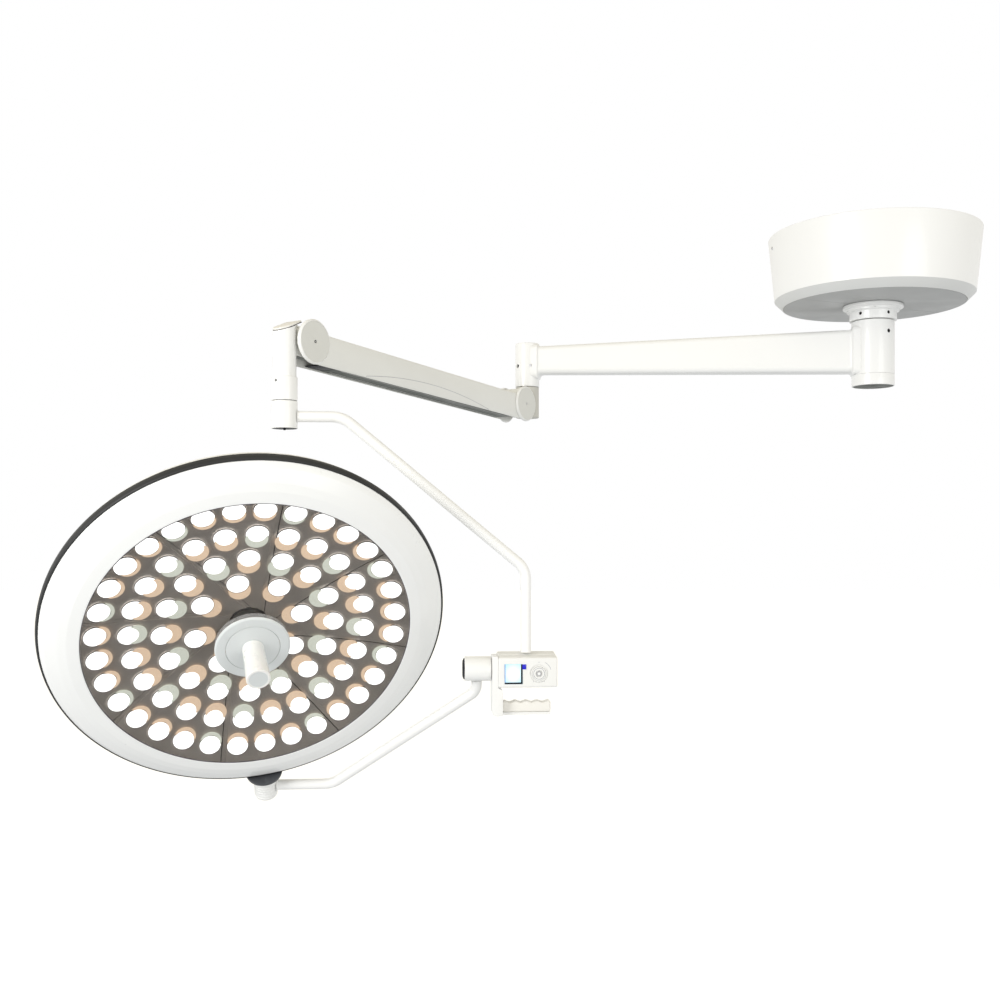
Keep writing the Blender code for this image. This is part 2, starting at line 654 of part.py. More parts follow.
def handle(parent):
    """A bent side plate, which carries a finger grip under the box."""
    (left, right), low = BRACKET_X, GRIP_Z[0] - 0.0050
    plate_right = right - GAP * 2
    outline = [
        (left, BOX_FRONT_TOP_Z + 0.002), (left, low + 0.004), (left + 0.004, low), (GRIP_X[1], low),
        (GRIP_X[1], low + 0.0047), (BRACKET_FOOT_X, low + 0.0047), (BRACKET_FOOT_X, BOX_LOW_Z - 0.006),
        (plate_right, BOX_LOW_Z - 0.001), (plate_right, BOX_FRONT_TOP_Z + 0.002),
    ]
    bracket = add("handle_bracket", prism(outline, *BRACKET_Y), WHITE, parent)
    for y0, y1 in ((-0.05, -GRIP_Y), (GRIP_Y, 0.05)):
        room = block((BRACKET_FOOT_X, y0, low - 0.01), (GRIP_X[1] + 0.01, y1, low + 0.01))
        cut(bracket, add(f"shelf_cut_{'front' if y0 < 0 else 'back'}", room, None, parent))
    waves, points = 4, 24
    top = []
    for i in range(points + 1):
        share = i / points
        x = GRIP_X[1] + (GRIP_X[0] - GRIP_X[1]) * share
        top.append((x, GRIP_Z[1] - 0.0011 + 0.0011 * cos(2 * pi * waves * share)))
    grip = [(GRIP_X[0], GRIP_Z[0]), (GRIP_X[1], GRIP_Z[0])] + top
    add("finger_grip", prism(grip, -GRIP_Y, GRIP_Y), CREAM, parent)


# Lower yoke -----------------------------------------------------------------------------------


def lower_yoke(parent):
    left, right = BARREL_X
    cap_r = BARREL_R - 0.0030
    body = [
        (cap_r, left), (BARREL_R, left), (BARREL_R, right), (HINGE_SHAFT_R + RUN, right),
        (HINGE_SHAFT_R + RUN, left + 0.0045), (cap_r, left + 0.0045),
    ]
    along = (0, pi / 2, 0)
    add("hinge_barrel", turned(body), WHITE, parent, rotation=along)
    cap = rod(cap_r - GAP, left + 0.0015, left + 0.0045 - GAP)
    add("barrel_cap", cap, DARK, parent, rotation=along)
    first, second = LOWER_TUBE_BENDS
    corners = [(LOWER_TUBE_X, -BARREL_R - GAP), first, second, (SOCKET_R + GAP, second[1])]
    bent_tube("lower_yoke_tube", rounded_route(corners, (0.030, 0.045)), TUBE_R, WHITE, parent)
    top, low = (HEAD_RISE - s for s in SOCKET_S)
    steps = [
        (0, low), (SOCKET_R - 0.001, low), (SOCKET_R, low + 0.001), (SOCKET_R, top - 0.001),
        (SOCKET_R - 0.001, top), (0, top),
    ]
    add("boot_socket", turned(steps), WHITE, parent)


# Lamp head ------------------------------------------------------------------------------------


def head_outside(grow=0.0):
    """The dark bumper from its front lip back, then the rear housing's steep side."""
    return [
        (RING_OUT_R + 0.0004, 0.0118 + grow),
        (0.3485 + grow, 0.0100 + grow),
        (HEAD_R + grow, 0.0040),
        (0.3495 + grow, -0.0040),
        (0.3472 + grow, -0.0078),
        (0.3440 + grow, -0.0180),
        (0.3360 + grow, -0.0290),
        (0.3250, -0.0400 - grow),
    ]


def lamp_shells(face):
    rim_in = [(0.3440, -0.0072), (0.3462, -0.0040), (0.3466, 0.0030), (RING_OUT_R + 0.0004, 0.0072)]
    add("rim_band", turned(head_outside()[:5] + rim_in, HEAD_SIDES), DARK, face)
    ring = [
        (RING_OUT_R - 0.0035, 0.0070), (RING_OUT_R, 0.0080), (RING_OUT_R, 0.0125),
        (0.3370, 0.0195), (0.3170, 0.0300), (0.3010, 0.0360), (PLATE_EDGE_R + 0.0010, 0.0392),
        (PLATE_EDGE_R, 0.0389), (PLATE_EDGE_R, 0.0388), (0.2995, 0.0330), (0.3150, 0.0270),
        (0.3340, 0.0170),
    ]
    add("front_ring", turned(ring, HEAD_SIDES), WHITE, face)
    crown = [(0.3000, -0.0520), (0.2400, -0.0630), (0.1200, -0.0705)]
    back = [(0.3468, -0.0084)] + head_outside()[5:] + crown
    inside = [
        (0.1200, -0.0675), (0.2390, -0.0600), (0.2985, -0.0492), (0.3230, -0.0375), (0.3335, -0.0270),
        (0.3412, -0.0170), (0.3436, -0.0084),
    ]
    middle = [(0, -0.0725)]
    add("rear_housing", turned(middle + back[::-1] + inside[::-1] + [(0, -0.0695)], HEAD_SIDES), WHITE, face)


def lens_and_leds(face):
    """The smoked front plate, and the pan behind it that carries the light sources."""
    low, high = LENS_Z
    plate = [(0.0300, low), (PLATE_EDGE_R - 0.0008, low), (PLATE_EDGE_R - 0.0008, high), (0.0300, high)]
    add("lens_plate", turned(plate, HEAD_SIDES), SMOKE, face)
    pan = [
        (0.0300, -0.0165), (0.2690, -0.0165), (0.2960, 0.0110), (0.3120, 0.0150), (0.3120, 0.0175),
        (0.2940, 0.0140), (0.2670, -0.0140), (0.0300, -0.0140),
    ]
    add("led_carrier", turned(pan, 28), STEEL, face)


def centre_hub(face):
    low, high = HUB_DISC_Z
    base, top = LENS_Z[1] + GAP, low - GAP
    collar = [(0.0480, base), (0.0630, base), (0.0600, top), (0.0450, top)]
    add("hub_collar", turned(collar), CLEAR, face)
    disc = [
        (FOCUS_R + RUN, low), (HUB_DISC_R - 0.002, low), (HUB_DISC_R, low + 0.002),
        (HUB_DISC_R, high - 0.003), (HUB_DISC_R - 0.004, high), (FOCUS_R + RUN, high),
    ]
    add("centre_hub", turned(disc), WHITE, face)


def focus_handle(turn):
    """The turning plate with the post that the sterile handle pushes on to, and the handle."""
    low, high = HUB_DISC_Z
    post_r, post_top = 0.0105, 0.120
    socket = [
        (0, 0.010), (0.024, 0.010), (0.024, low), (FOCUS_R, low), (FOCUS_R, high),
        (post_r, high), (post_r, post_top), (0, post_top),
    ]
    add("focus_socket", turned(socket), WHITE, turn)
    base, tip = HANDLE_Z
    bore = post_r + RUN
    grip = [
        (0, tip), (HANDLE_R[1] - 0.002, tip), (HANDLE_R[1], tip - 0.002), (HANDLE_R[0], base),
        (bore, base), (bore, post_top + 0.002), (0, post_top + 0.002),
    ]
    add("sterile_handle", turned(grip), WHITE, turn)


def head_boot(head, face):
    """The dark bellows-shaped boot, hollowed to the rim that it grows out of."""
    steps = [
        (0, -0.322), (BOOT_R, -0.322), (BOOT_R, -0.3425), (BOOT_R - 0.002, -0.3490),
        (BOOT_R - 0.006, -0.3545), (0.0250, -0.3585), (0, -0.3592),
    ]
    boot = add("head_boot", turned(steps, 28), DARK, head)
    outside = [(0, 0.05), (RING_OUT_R + 0.0004, 0.05)] + head_outside(GAP) + [(0, -0.0405)]
    cut(boot, add("boot_hollow", turned(outside, 2 * HEAD_SIDES), None, face))


def main():
    clear_scene()
    ceiling_plate()
    canopy()
    drop_flange()
    arm = frame("arm_swivel", rotation=(0, 0, ARM_YAW))
    horizontal_arm(arm)
    bend = frame("knuckle_swivel", arm, (ARM_LENGTH, 0, 0), (0, 0, KNUCKLE_BEND))
    near = frame("near_pivot", bend, (KNUCKLE_REACH, 0, PIVOT_Z))
    knuckle(bend, near)
    lift = frame("arm_lift", near, rotation=(0, -LIFT, 0))
    spring_arm(lift)
    level_rod(frame("rod_pivot", near, (0, 0, ROD_OFFSET), (0, -LIFT, 0)))
    far = frame("far_pivot", lift, (SPRING_ARM_LENGTH, 0, 0), (0, LIFT, 0))
    swivel = frame("bracket_axis", far, (BRACKET_REACH, 0, 0))
    head_bracket(far, swivel)
    yoke = frame("yoke_swivel", swivel, rotation=(0, 0, YOKE_TURN))
    upper_yoke(yoke)
    tilt = frame("yoke_tilt", yoke, (HEAD_AXIS_X, 0, HINGE_Z), (YOKE_TILT, 0, 0))
    lower_yoke(tilt)
    head = frame("head_turn", tilt, (0, 0, HEAD_RISE), (0, 0, HEAD_TURN))
    face = frame("head_face", head, rotation=(pi / 2, 0, 0))
    lamp_shells(face)
    lens_and_leds(face)
    centre_hub(face)
    focus_handle(face)
    head_boot(head, face)


main()
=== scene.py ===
"""Looks of the ceiling-mounted operating light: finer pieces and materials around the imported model.

Every piece is modelled in the frame of its joint, as the CAD is, and put in place by that frame.
"""

import json
from math import asin, atan2, cos, degrees, hypot, pi, radians, sin, sqrt, tan

import bmesh
import bpy
from mathutils import Matrix, Vector

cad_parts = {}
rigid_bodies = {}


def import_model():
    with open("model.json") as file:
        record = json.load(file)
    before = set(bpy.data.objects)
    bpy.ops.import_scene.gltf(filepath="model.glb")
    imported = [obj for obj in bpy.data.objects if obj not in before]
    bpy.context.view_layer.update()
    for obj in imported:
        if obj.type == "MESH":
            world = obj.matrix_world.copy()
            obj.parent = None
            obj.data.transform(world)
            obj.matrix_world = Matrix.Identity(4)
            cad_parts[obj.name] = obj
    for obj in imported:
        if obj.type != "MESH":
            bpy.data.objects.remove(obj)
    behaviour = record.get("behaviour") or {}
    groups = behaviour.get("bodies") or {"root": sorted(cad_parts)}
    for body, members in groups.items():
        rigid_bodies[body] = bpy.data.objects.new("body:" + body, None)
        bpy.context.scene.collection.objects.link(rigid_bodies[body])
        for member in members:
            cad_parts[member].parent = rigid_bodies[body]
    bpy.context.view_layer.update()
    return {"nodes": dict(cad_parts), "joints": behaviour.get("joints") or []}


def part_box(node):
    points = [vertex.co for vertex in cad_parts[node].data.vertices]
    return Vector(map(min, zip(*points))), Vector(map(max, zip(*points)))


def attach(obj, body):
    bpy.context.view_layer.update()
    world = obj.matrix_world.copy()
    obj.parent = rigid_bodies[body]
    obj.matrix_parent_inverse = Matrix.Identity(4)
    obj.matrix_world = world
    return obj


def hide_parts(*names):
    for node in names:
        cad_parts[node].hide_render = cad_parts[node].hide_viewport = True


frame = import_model()

GAP = 0.0003

# Frames

JOINTS = {joint["name"]: joint for joint in frame["joints"]}
UP = Vector((0, 0, 1))


def at(joint):
    return Vector(JOINTS[joint]["pos_m"])


def along(joint):
    return Vector(JOINTS[joint]["axis"]).normalized()


def basis(origin, x, y, z):
    made = Matrix((x, y, z)).transposed().to_4x4()
    made.translation = origin
    return made


WORLD = Matrix.Identity(4)
arm_x = (at("knuckle_swivel") - at("arm_swivel")) * Vector((1, 1, 0))
arm_x.normalize()
ARM = basis(Vector((0, 0, 0)), arm_x, UP.cross(arm_x), UP)
side_y = -along("arm_lift")
side_x = side_y.cross(UP)
NEAR = basis(at("arm_lift"), side_x, side_y, UP)
KNUCKLE = basis(at("knuckle_swivel") * Vector((1, 1, 0)), side_x, side_y, UP)
lift_x = (at("bracket_level") - at("arm_lift")).normalized()
LIFT = basis(at("arm_lift"), lift_x, side_y, lift_x.cross(side_y))
ROD = basis(at("rod_swing"), lift_x, side_y, lift_x.cross(side_y))
FAR = basis(at("bracket_level"), side_x, side_y, UP)
SWIVEL = basis(at("yoke_swivel"), side_x, side_y, UP)
yoke_x = along("yoke_tilt")
YOKE = basis(at("yoke_swivel"), yoke_x, UP.cross(yoke_x), UP)
head_z = along("head_turn")
TILT = basis(at("yoke_tilt"), yoke_x, head_z.cross(yoke_x), head_z)
normal = along("focus_turn")
HEAD = basis(at("head_turn"), head_z.cross(normal), -normal, head_z)
FACE = basis(at("head_turn"), head_z.cross(normal), head_z, normal)

# Sizes, as in the CAD

ARM_LENGTH = 0.800
HUB_R, HUB_TOP, HUB_SEAM, HUB_END = 0.047, -0.198, -0.319, -0.345
END_R, END_TOP, END_LOW = 0.029, -0.221, -0.3255
SPRING_LENGTH = 0.724
NEAR_R, FAR_R = 0.0375, 0.0395
SIDE_TOP, SIDE_FILLET = 0.0193, 0.035
COVER_Y, COVER_WALL = 0.0270, 0.0025
KNUCKLE_REACH, BRACKET_REACH = 0.0538, 0.0468
DISC_R, DISC_T = 0.0413, 0.0054
TONGUE_Y = (-0.0030, 0.0142)
PIN_R = 0.008
TUBE_R = 0.010
BOX_X, BOX_Y, BOX_SPLIT = (0.3865, 0.4945), (-0.030, 0.026), -0.004
BOX_TOP, BOX_FRONT_TOP, BOX_LOW = -0.5703, -0.5768, -0.6313
SCREEN_X, SCREEN_Z = (0.3980, 0.4305), (-0.6247, -0.5888)
PAD = (0.4605, -0.6061)
HEAD_RISE = 0.0955
HEAD_SIDES = 160  # rounder than the CAD's head

# Shapes


def arc(centre, radius, start, end, steps):
    """Points in degrees from start to end, both included."""
    turns = [radians(start + (end - start) * i / steps) for i in range(steps + 1)]
    return [(centre[0] + radius * cos(t), centre[1] + radius * sin(t)) for t in turns]


def rounded(profile, closed, steps=5):
    """A profile of (r, z) or (r, z, radius): a third number rounds that corner off."""
    count, out = len(profile), []
    for i, point in enumerate(profile):
        here = Vector(point[:2])
        inner = closed or 0 < i < count - 1
        if len(point) < 3 or not inner or point[2] == 0:
            out.append(here)
            continue
        back = Vector(profile[i - 1][:2]) - here
        ahead = Vector(profile[(i + 1) % count][:2]) - here
        half = back.angle(ahead) / 2
        if half > radians(89.5):
            out.append(here)
            continue
        reach = min(point[2] / tan(half), 0.49 * back.length, 0.49 * ahead.length)
        back.normalize()
        ahead.normalize()
        radius = reach * tan(half)
        centre = here + (back + ahead).normalized() * radius / sin(half)
        first = (here + back * reach - centre).normalized()
        last = (here + ahead * reach - centre).normalized()
        out += [centre + first.slerp(last, k / steps) * radius for k in range(steps + 1)]
    return out


def turned(profile, sides=96):
    """A profile turned about Z. It closes itself unless both of its ends lie on Z."""
    on_axis = profile[0][0] == 0 and profile[-1][0] == 0
    points = rounded(profile, not on_axis)
    bm = bmesh.new()
    rings = []
    for r, z in points:
        if r < 1e-7:
            rings.append([bm.verts.new((0, 0, z))] * sides)
        else:
            turns = [2 * pi * i / sides for i in range(sides)]
            rings.append([bm.verts.new((r * cos(t), r * sin(t), z)) for t in turns])
    pairs = list(zip(rings, rings[1:]))
    if not on_axis:
        pairs.append((rings[-1], rings[0]))
    for low, high in pairs:
        for i in range(sides):
            j = (i + 1) % sides
            corners = list(dict.fromkeys([low[i], low[j], high[j], high[i]]))
            if len(corners) > 2:
                bm.faces.new(corners)
    return bm


def loft(sections, capped=True, ring=False):
    """Closed loops with as many points each, joined in order."""
    bm = bmesh.new()
    rings = [[bm.verts.new(p) for p in section] for section in sections]
    count = len(rings[0])
    pairs = list(zip(rings, rings[1:])) + ([(rings[-1], rings[0])] if ring else [])
    for low, high in pairs:
        for i in range(count):
            j = (i + 1) % count
            bm.faces.new([low[i], low[j], high[j], high[i]])
    if capped and not ring:
        bm.faces.new(rings[0])
        bm.faces.new(rings[-1])
    return bm


def prism(outline, low, high, axis="Y"):
    """An outline drawn in the two other axes, drawn out along axis from low to high."""
    put = {
        "X": lambda a, b, c: (c, a, b),
        "Y": lambda a, b, c: (a, c, b),
        "Z": lambda a, b, c: (a, b, c),
    }[axis]
    return loft([[put(a, b, c) for a, b in outline] for c in (low, high)])


def block(low, high):
    bm = bmesh.new()
    bmesh.ops.create_cube(bm, size=1)
    for vert in bm.verts:
        vert.co = [lo if c < 0 else hi for c, lo, hi in zip(vert.co, low, high)]
    return bm


def rod(radius, low, high, sides=64, soft=0.0005):
    return turned([(0, low), (radius, low, soft), (radius, high, soft), (0, high)], sides)


def route(corners, radii, steps=14):
    """A polyline in X and Z whose inner corners are arcs of the given radii."""
    spots = [Vector((x, 0, z)) for x, z in corners]
    points = [spots[0]]
    for before, corner, after, radius in zip(spots, spots[1:], spots[2:], radii):
        back, ahead = (before - corner).normalized(), (after - corner).normalized()
        half = back.angle(ahead) / 2
        centre = corner + (back + ahead).normalized() * radius / sin(half)
        first = (corner + back * radius / tan(half) - centre).normalized()
        last = (corner + ahead * radius / tan(half) - centre).normalized()
        points += [centre + first.slerp(last, i / steps) * radius for i in range(steps + 1)]
    return points + [spots[-1]]


def swept(points, radius, sides=40, flares=(0, 0), up=Vector((0, 1, 0))):
    """A round bar along points. A flare widens an end in a small fillet of that size."""
    spans = [(b - a).length for a, b in zip(points, points[1:])]
    total = sum(spans)
    stations, run = [], 0
    path = [(0, points[0])]
    for span, point in zip(spans, points[1:]):
        run += span
        path.append((run, point))

    def spot(s):
        for (s0, p0), (s1, p1) in zip(path, path[1:]):
            if s <= s1:
                return p0.lerp(p1, (s - s0) / (s1 - s0))
        return path[-1][1]

    marks = [s for s, _ in path]
    for flare, end in zip(flares, (0, total)):
        if flare:
            marks += [abs(end - flare * k / 6) for k in range(1, 7)]
    spacing = 0.014
    count = max(1, round(total / spacing))
    marks += [total * k / count for k in range(count)]
    marks = sorted(set(round(s, 6) for s in marks))
    marks = [s for i, s in enumerate(marks) if i == 0 or s - marks[i - 1] > 1e-4]
    for s in marks:
        r = radius
        for flare, end in zip(flares, (0, total)):
            near = abs(s - end)
            if flare and near < flare:
                r += flare - sqrt(flare**2 - (flare - near) ** 2)
        stations.append((spot(s), r))
    sections = []
    for i, (point, r) in enumerate(stations):
        behind = stations[max(i - 1, 0)][0]
        beyond = stations[min(i + 1, len(stations) - 1)][0]
        ahead = (beyond - behind).normalized()
        across = up.cross(ahead).normalized()
        rise = ahead.cross(across)
        turns = [2 * pi * k / sides for k in range(sides)]
        sections.append([point + r * (cos(t) * across + sin(t) * rise) for t in turns])
    return loft(sections)


def raw(bm, place=WORLD):
    """A cutter or other helper: an object with no material, which rides on nothing."""
    bmesh.ops.recalc_face_normals(bm, faces=bm.faces)
    mesh = bpy.data.meshes.new("helper")
    bm.to_mesh(mesh)
    bm.free()
    mesh.transform(place)
    obj = bpy.data.objects.new("helper", mesh)
    bpy.context.scene.collection.objects.link(obj)
    return obj


def applied(obj):
    """The object with its modifiers made part of its mesh."""
    bpy.context.view_layer.update()
    graph = bpy.context.evaluated_depsgraph_get()
    mesh = bpy.data.meshes.new_from_object(obj.evaluated_get(graph))
    obj.modifiers.clear()
    obj.data = mesh
    return obj


def combine(obj, others, operation):
    for other in others:
        step = obj.modifiers.new("step", "BOOLEAN")
        step.operation = operation
        step.solver = "EXACT"
        step.object = other
        applied(obj)
        bpy.data.objects.remove(other, do_unlink=True)
    return obj


def cut(obj, *others):
    return combine(obj, others, "DIFFERENCE")


def join(obj, *others):
    return combine(obj, others, "UNION")


def softened(obj, width, segments=2, angle=35):
    step = obj.modifiers.new("soft", "BEVEL")
    step.width = width
    step.segments = segments
    step.limit_method = "ANGLE"
    step.angle_limit = radians(angle)
    step.harden_normals = False
    return applied(obj)


def merged(parts):
    """Several bmeshes as one."""
    whole = bmesh.new()
    for bm, place in parts:
        mesh = bpy.data.meshes.new("part")
        bmesh.ops.recalc_face_normals(bm, faces=bm.faces)
        bm.to_mesh(mesh)
        bm.free()
        mesh.transform(place)
        whole.from_mesh(mesh)
        bpy.data.meshes.remove(mesh)
    return whole


def piece(name, shape, finish, body, place=WORLD, stands_for=(), sharp=32):
    """A piece of the visual model, from a bmesh in its frame or from a helper already in place."""
    obj = shape if isinstance(shape, bpy.types.Object) else raw(shape, place)
    obj.name = name
    obj.data.name = name
    obj.data.materials.clear()
    obj.data.materials.append(finish)
    obj.data.shade_smooth()
    obj.data.set_sharp_from_angle(angle=radians(sharp))
    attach(obj, body)
    if stands_for:
        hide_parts(*([stands_for] if isinstance(stands_for, str) else stands_for))
    return obj


def fine(node, shape, finish, body, place=WORLD, sharp=32):
    """The finer piece that stands for one node of the CAD."""
    return piece(f"{node}_fine", shape, finish, body, place, node, sharp)


def second_material(obj, material, place, chosen):
    """Another material for the faces that chosen picks by their centre in a frame and their normal."""
    obj.data.materials.append(material)
    back = place.inverted()
    for face in obj.data.polygons:
        if chosen(back @ face.center, face.normal):
            face.material_index = 1


def turn_to(direction, origin, roll=0.0):
    """A frame whose Z points along direction."""
    spin = direction.to_track_quat("Z", "Y").to_matrix().to_4x4()
    return Matrix.Translation(origin) @ spin @ Matrix.Rotation(roll, 4, "Z")


def radial(place, radius, bearing, height):
    """A frame on a round wall about Z, with its own Z pointing out of the wall."""
    out = Vector((cos(bearing), sin(bearing), 0))
    return place @ turn_to(out, Vector((radius * out.x, radius * out.y, height)))


def socket_screw(radius, length, key, depth, dome=0.0):
    """A screw whose head has a hexagonal socket. Its face is at z = 0, or domes above it."""
    sides = 36
    turns = [2 * pi * i / sides for i in range(sides)]

    def circle(r, z):
        return [(r * cos(t), r * sin(t), z) for t in turns]

    def hexagon(r, z):
        out = []
        for t in turns:
            reach = r * cos(pi / 6) / cos((t % (pi / 3)) - pi / 6)
            out.append((reach * cos(t), reach * sin(t), z))
        return out

    chamfer = radius * 0.12
    loops = [circle(radius, -length), circle(radius, -chamfer), circle(radius - chamfer, dome * 0.4)]
    loops += [hexagon(key * 1.06, dome), hexagon(key, dome - key * 0.06), hexagon(key, -depth)]
    return loft(loops)


# Materials


class Nodes:
    """Short names for the nodes of one material."""

    def __init__(self, name):
        self.made = bpy.data.materials.new(name)
        self.made.use_nodes = True
        self.tree = self.made.node_tree
        self.shader = self.tree.nodes["Principled BSDF"]
        self.where = self.tree.nodes.new("ShaderNodeTexCoord").outputs["Object"]

    def add(self, kind, inputs=(), **settings):
        node = self.tree.nodes.new("ShaderNode" + kind)
        for key, value in settings.items():
            setattr(node, key, value)
        for key, value in dict(inputs).items():
            self.put(node.inputs[key], value)
        return node

    def put(self, socket, value):
        if isinstance(value, bpy.types.NodeSocket):
            self.tree.links.new(value, socket)
        else:
            socket.default_value = value

    def shows(self, name, value):
        self.put(self.shader.inputs[name], value)

    def stretched(self, scale, turn=(0, 0, 0)):
        node = self.add("Mapping", {"Vector": self.where, "Scale": scale, "Rotation": turn})
        return node.outputs["Vector"]

    def noise(self, scale, detail=3.0, rough=0.5, place=None):
        values = {"Vector": place or self.where, "Scale": scale, "Detail": detail, "Roughness": rough}
        return self.add("TexNoise", values).outputs["Fac"]

    def ranged(self, value, low, high, start=0.3, end=0.7):
        values = {"Value": value, "From Min": start, "From Max": end, "To Min": low, "To Max": high}
        return self.add("MapRange", values).outputs["Result"]

    def mixed(self, share, first, second):
        node = self.add("Mix", data_type="RGBA")
        for socket, value in ((node.inputs[0], share), (node.inputs[6], first), (node.inputs[7], second)):
            self.put(socket, (*value, 1.0) if isinstance(value, tuple) else value)
        return node.outputs[2]

    def bumped(self, height, distance, strength=1.0, under=None):
        values = {"Height": height, "Distance": distance, "Strength": strength}
        if under:
            values["Normal"] = under
        return self.add("Bump", values).outputs["Normal"]

    def edges(self, start, end):
        """From 0 on flat parts to 1 on convex edges."""
        point = self.add("NewGeometry").outputs["Pointiness"]
        return self.ranged(point, 0.0, 1.0, start, end)


def shade(colour, factor):
    return tuple(c * factor for c in colour)


def finish(
    name, colour, rough, metal=0.0, cloud=(3.0, 0.04), smudge=(14.0, 0.06), peel=None, grain=None,
    edge=None, brushed=None, speck=None, **sockets,
):
    """A surface with clouded colour, smudged gloss, bumps at up to two scales, and worn edges.

    cloud: scale and strength of the colour's variation. smudge: the same for roughness.
    peel, grain: scale and height of the coarse and the fine bump. edge: colour and strength of wear.
    brushed: scales along each axis, for drawn or turned metal. speck: colour, scale and share.
    """
    n = Nodes(name)
    coarse = n.noise(cloud[0], 4.0, 0.6)
    tone = n.mixed(
        n.ranged(coarse, 0.0, 1.0),
        shade(colour, 1 - cloud[1]),
        tuple(min(1.0, c * (1 + cloud[1] * 0.6)) for c in colour),
    )
    if speck:
        dots = n.noise(speck[1], 2.0, 0.7)
        tone = n.mixed(n.ranged(dots, 0.0, speck[2], 0.62, 0.72), tone, speck[0])
    if edge:
        patches = {0: n.edges(0.57, 0.68), 1: n.ranged(n.noise(60, 4), 0, 1)}
        worn = n.add("Math", patches, operation="MULTIPLY")
        share = n.add("Math", {0: worn.outputs[0], 1: edge[1]}, operation="MULTIPLY").outputs[0]
        tone = n.mixed(share, tone, edge[0])
    n.shows("Base Color", tone)
    smear = n.noise(smudge[0], 5.0, 0.6)
    gloss = n.ranged(smear, max(rough - smudge[1], 0.02), min(rough + smudge[1], 1.0))
    bump = None
    if brushed:
        lines = n.noise(1.0, 3.0, 0.6, n.stretched(brushed))
        streak = n.ranged(lines, -0.08, 0.08)
        gloss = n.add("Math", {0: gloss, 1: streak}, operation="ADD", use_clamp=True).outputs[0]
        bump = n.bumped(lines, 0.00002, 0.5)
    n.shows("Roughness", gloss)
    for layer in (peel, grain):
        if layer:
            bump = n.bumped(n.noise(layer[0], 2.0, 0.5), layer[1], 1.0, bump)
    if bump:
        n.shows("Normal", bump)
    n.shader.inputs["Metallic"].default_value = metal
    for key, value in sockets.items():
        n.shader.inputs[key.replace("_", " ")].default_value = value
    return n.made


WHITE = (0.90, 0.90, 0.885)
enamel = finish(
    "white_enamel", WHITE, 0.34, cloud=(2.2, 0.015), smudge=(7, 0.03), peel=(300, 0.00002),
    edge=((0.70, 0.69, 0.66), 0.35), Coat_Weight=0.35, Coat_Roughness=0.12,
)
# A whiter copy of the white enamel for the yoke tubes: the extra whiteness is painted light that lifts the
# tubes' shade; its softer gloss calms the sparkle.
tube_enamel_painted_light = finish(
    "tube_enamel_painted_light", (0.93, 0.93, 0.92), 0.42, cloud=(2.2, 0.015), smudge=(11, 0.04), peel=(150, 0.00001),
    edge=((0.70, 0.69, 0.66), 0.3), Coat_Weight=0.2, Coat_Roughness=0.30,
)
head_enamel = finish(
    "head_enamel", (0.925, 0.93, 0.92), 0.34, cloud=(3.0, 0.03), smudge=(9, 0.08), peel=(520, 0.00003),
    edge=((0.68, 0.68, 0.66), 0.3), Coat_Weight=0.3, Coat_Roughness=0.15,
)
# Grey for the canopy's floor, darker than the walls: painted shade on the underside.
underside_shade_grey = finish(
    "canopy_floor_painted_shade", (0.45, 0.455, 0.45), 0.42, cloud=(4.0, 0.03), smudge=(13, 0.08),
    peel=(420, 0.00005), edge=((0.62, 0.62, 0.6), 0.3),
)
# A greyer enamel for the canopy's lower chamfer: painted shade on the faces that point down.
band_shade_grey = finish(
    "canopy_edge_painted_shade", (0.71, 0.715, 0.70), 0.36, cloud=(4.0, 0.03), smudge=(13, 0.08),
    peel=(420, 0.00005),
)
cover_plastic = finish(
    "arm_cover_plastic", (0.80, 0.80, 0.765), 0.44, cloud=(3.0, 0.03), smudge=(15, 0.08),
    peel=(300, 0.00002), grain=(1900, 0.00003), edge=((0.84, 0.84, 0.80), 0.3),
)
disc_plastic = finish(
    "disc_plastic", (0.72, 0.72, 0.68), 0.50, cloud=(5.0, 0.03), smudge=(20, 0.07),
    grain=(1900, 0.00004),
)
rim_plastic = finish(
    "disc_rim_plastic", (0.88, 0.88, 0.86), 0.35, cloud=(5.0, 0.02), smudge=(20, 0.06),
    grain=(1500, 0.00002),
)
knuckle_enamel = finish(
    "knuckle_enamel", (0.58, 0.57, 0.52), 0.40, cloud=(4.0, 0.03), smudge=(14, 0.07),
    peel=(420, 0.00005), edge=((0.48, 0.47, 0.44), 0.3),
)
cream = finish(
    "cream_moulding", (0.86, 0.84, 0.79), 0.42, cloud=(6.0, 0.03), smudge=(25, 0.07),
    grain=(1700, 0.00003), edge=((0.78, 0.75, 0.69), 0.3),
)
box_plastic = finish(
    "box_moulding", (0.87, 0.87, 0.85), 0.40, cloud=(5.0, 0.025), smudge=(22, 0.07),
    grain=(2100, 0.00003), edge=((0.78, 0.77, 0.74), 0.3),
)
rubber = finish(
    "dark_rubber", (0.036, 0.037, 0.038), 0.50, cloud=(7.0, 0.18), smudge=(24, 0.10),
    peel=(260, 0.00005), grain=(2200, 0.00005), edge=((0.13, 0.13, 0.125), 0.5),
    speck=((0.06, 0.06, 0.06), 900.0, 0.5), Specular_IOR_Level=0.25,
)
boot_rubber = finish(
    "boot_rubber", (0.062, 0.066, 0.075), 0.46, cloud=(9.0, 0.15), smudge=(30, 0.10),
    peel=(300, 0.00005), grain=(2200, 0.00005), edge=((0.15, 0.155, 0.17), 0.5),
)
black_plastic = finish(
    "dark_plastic", (0.010, 0.011, 0.018), 0.42, cloud=(12.0, 0.2), smudge=(40, 0.1),
    grain=(2300, 0.00004), edge=((0.06, 0.06, 0.07), 0.4), Specular_IOR_Level=0.15,
)
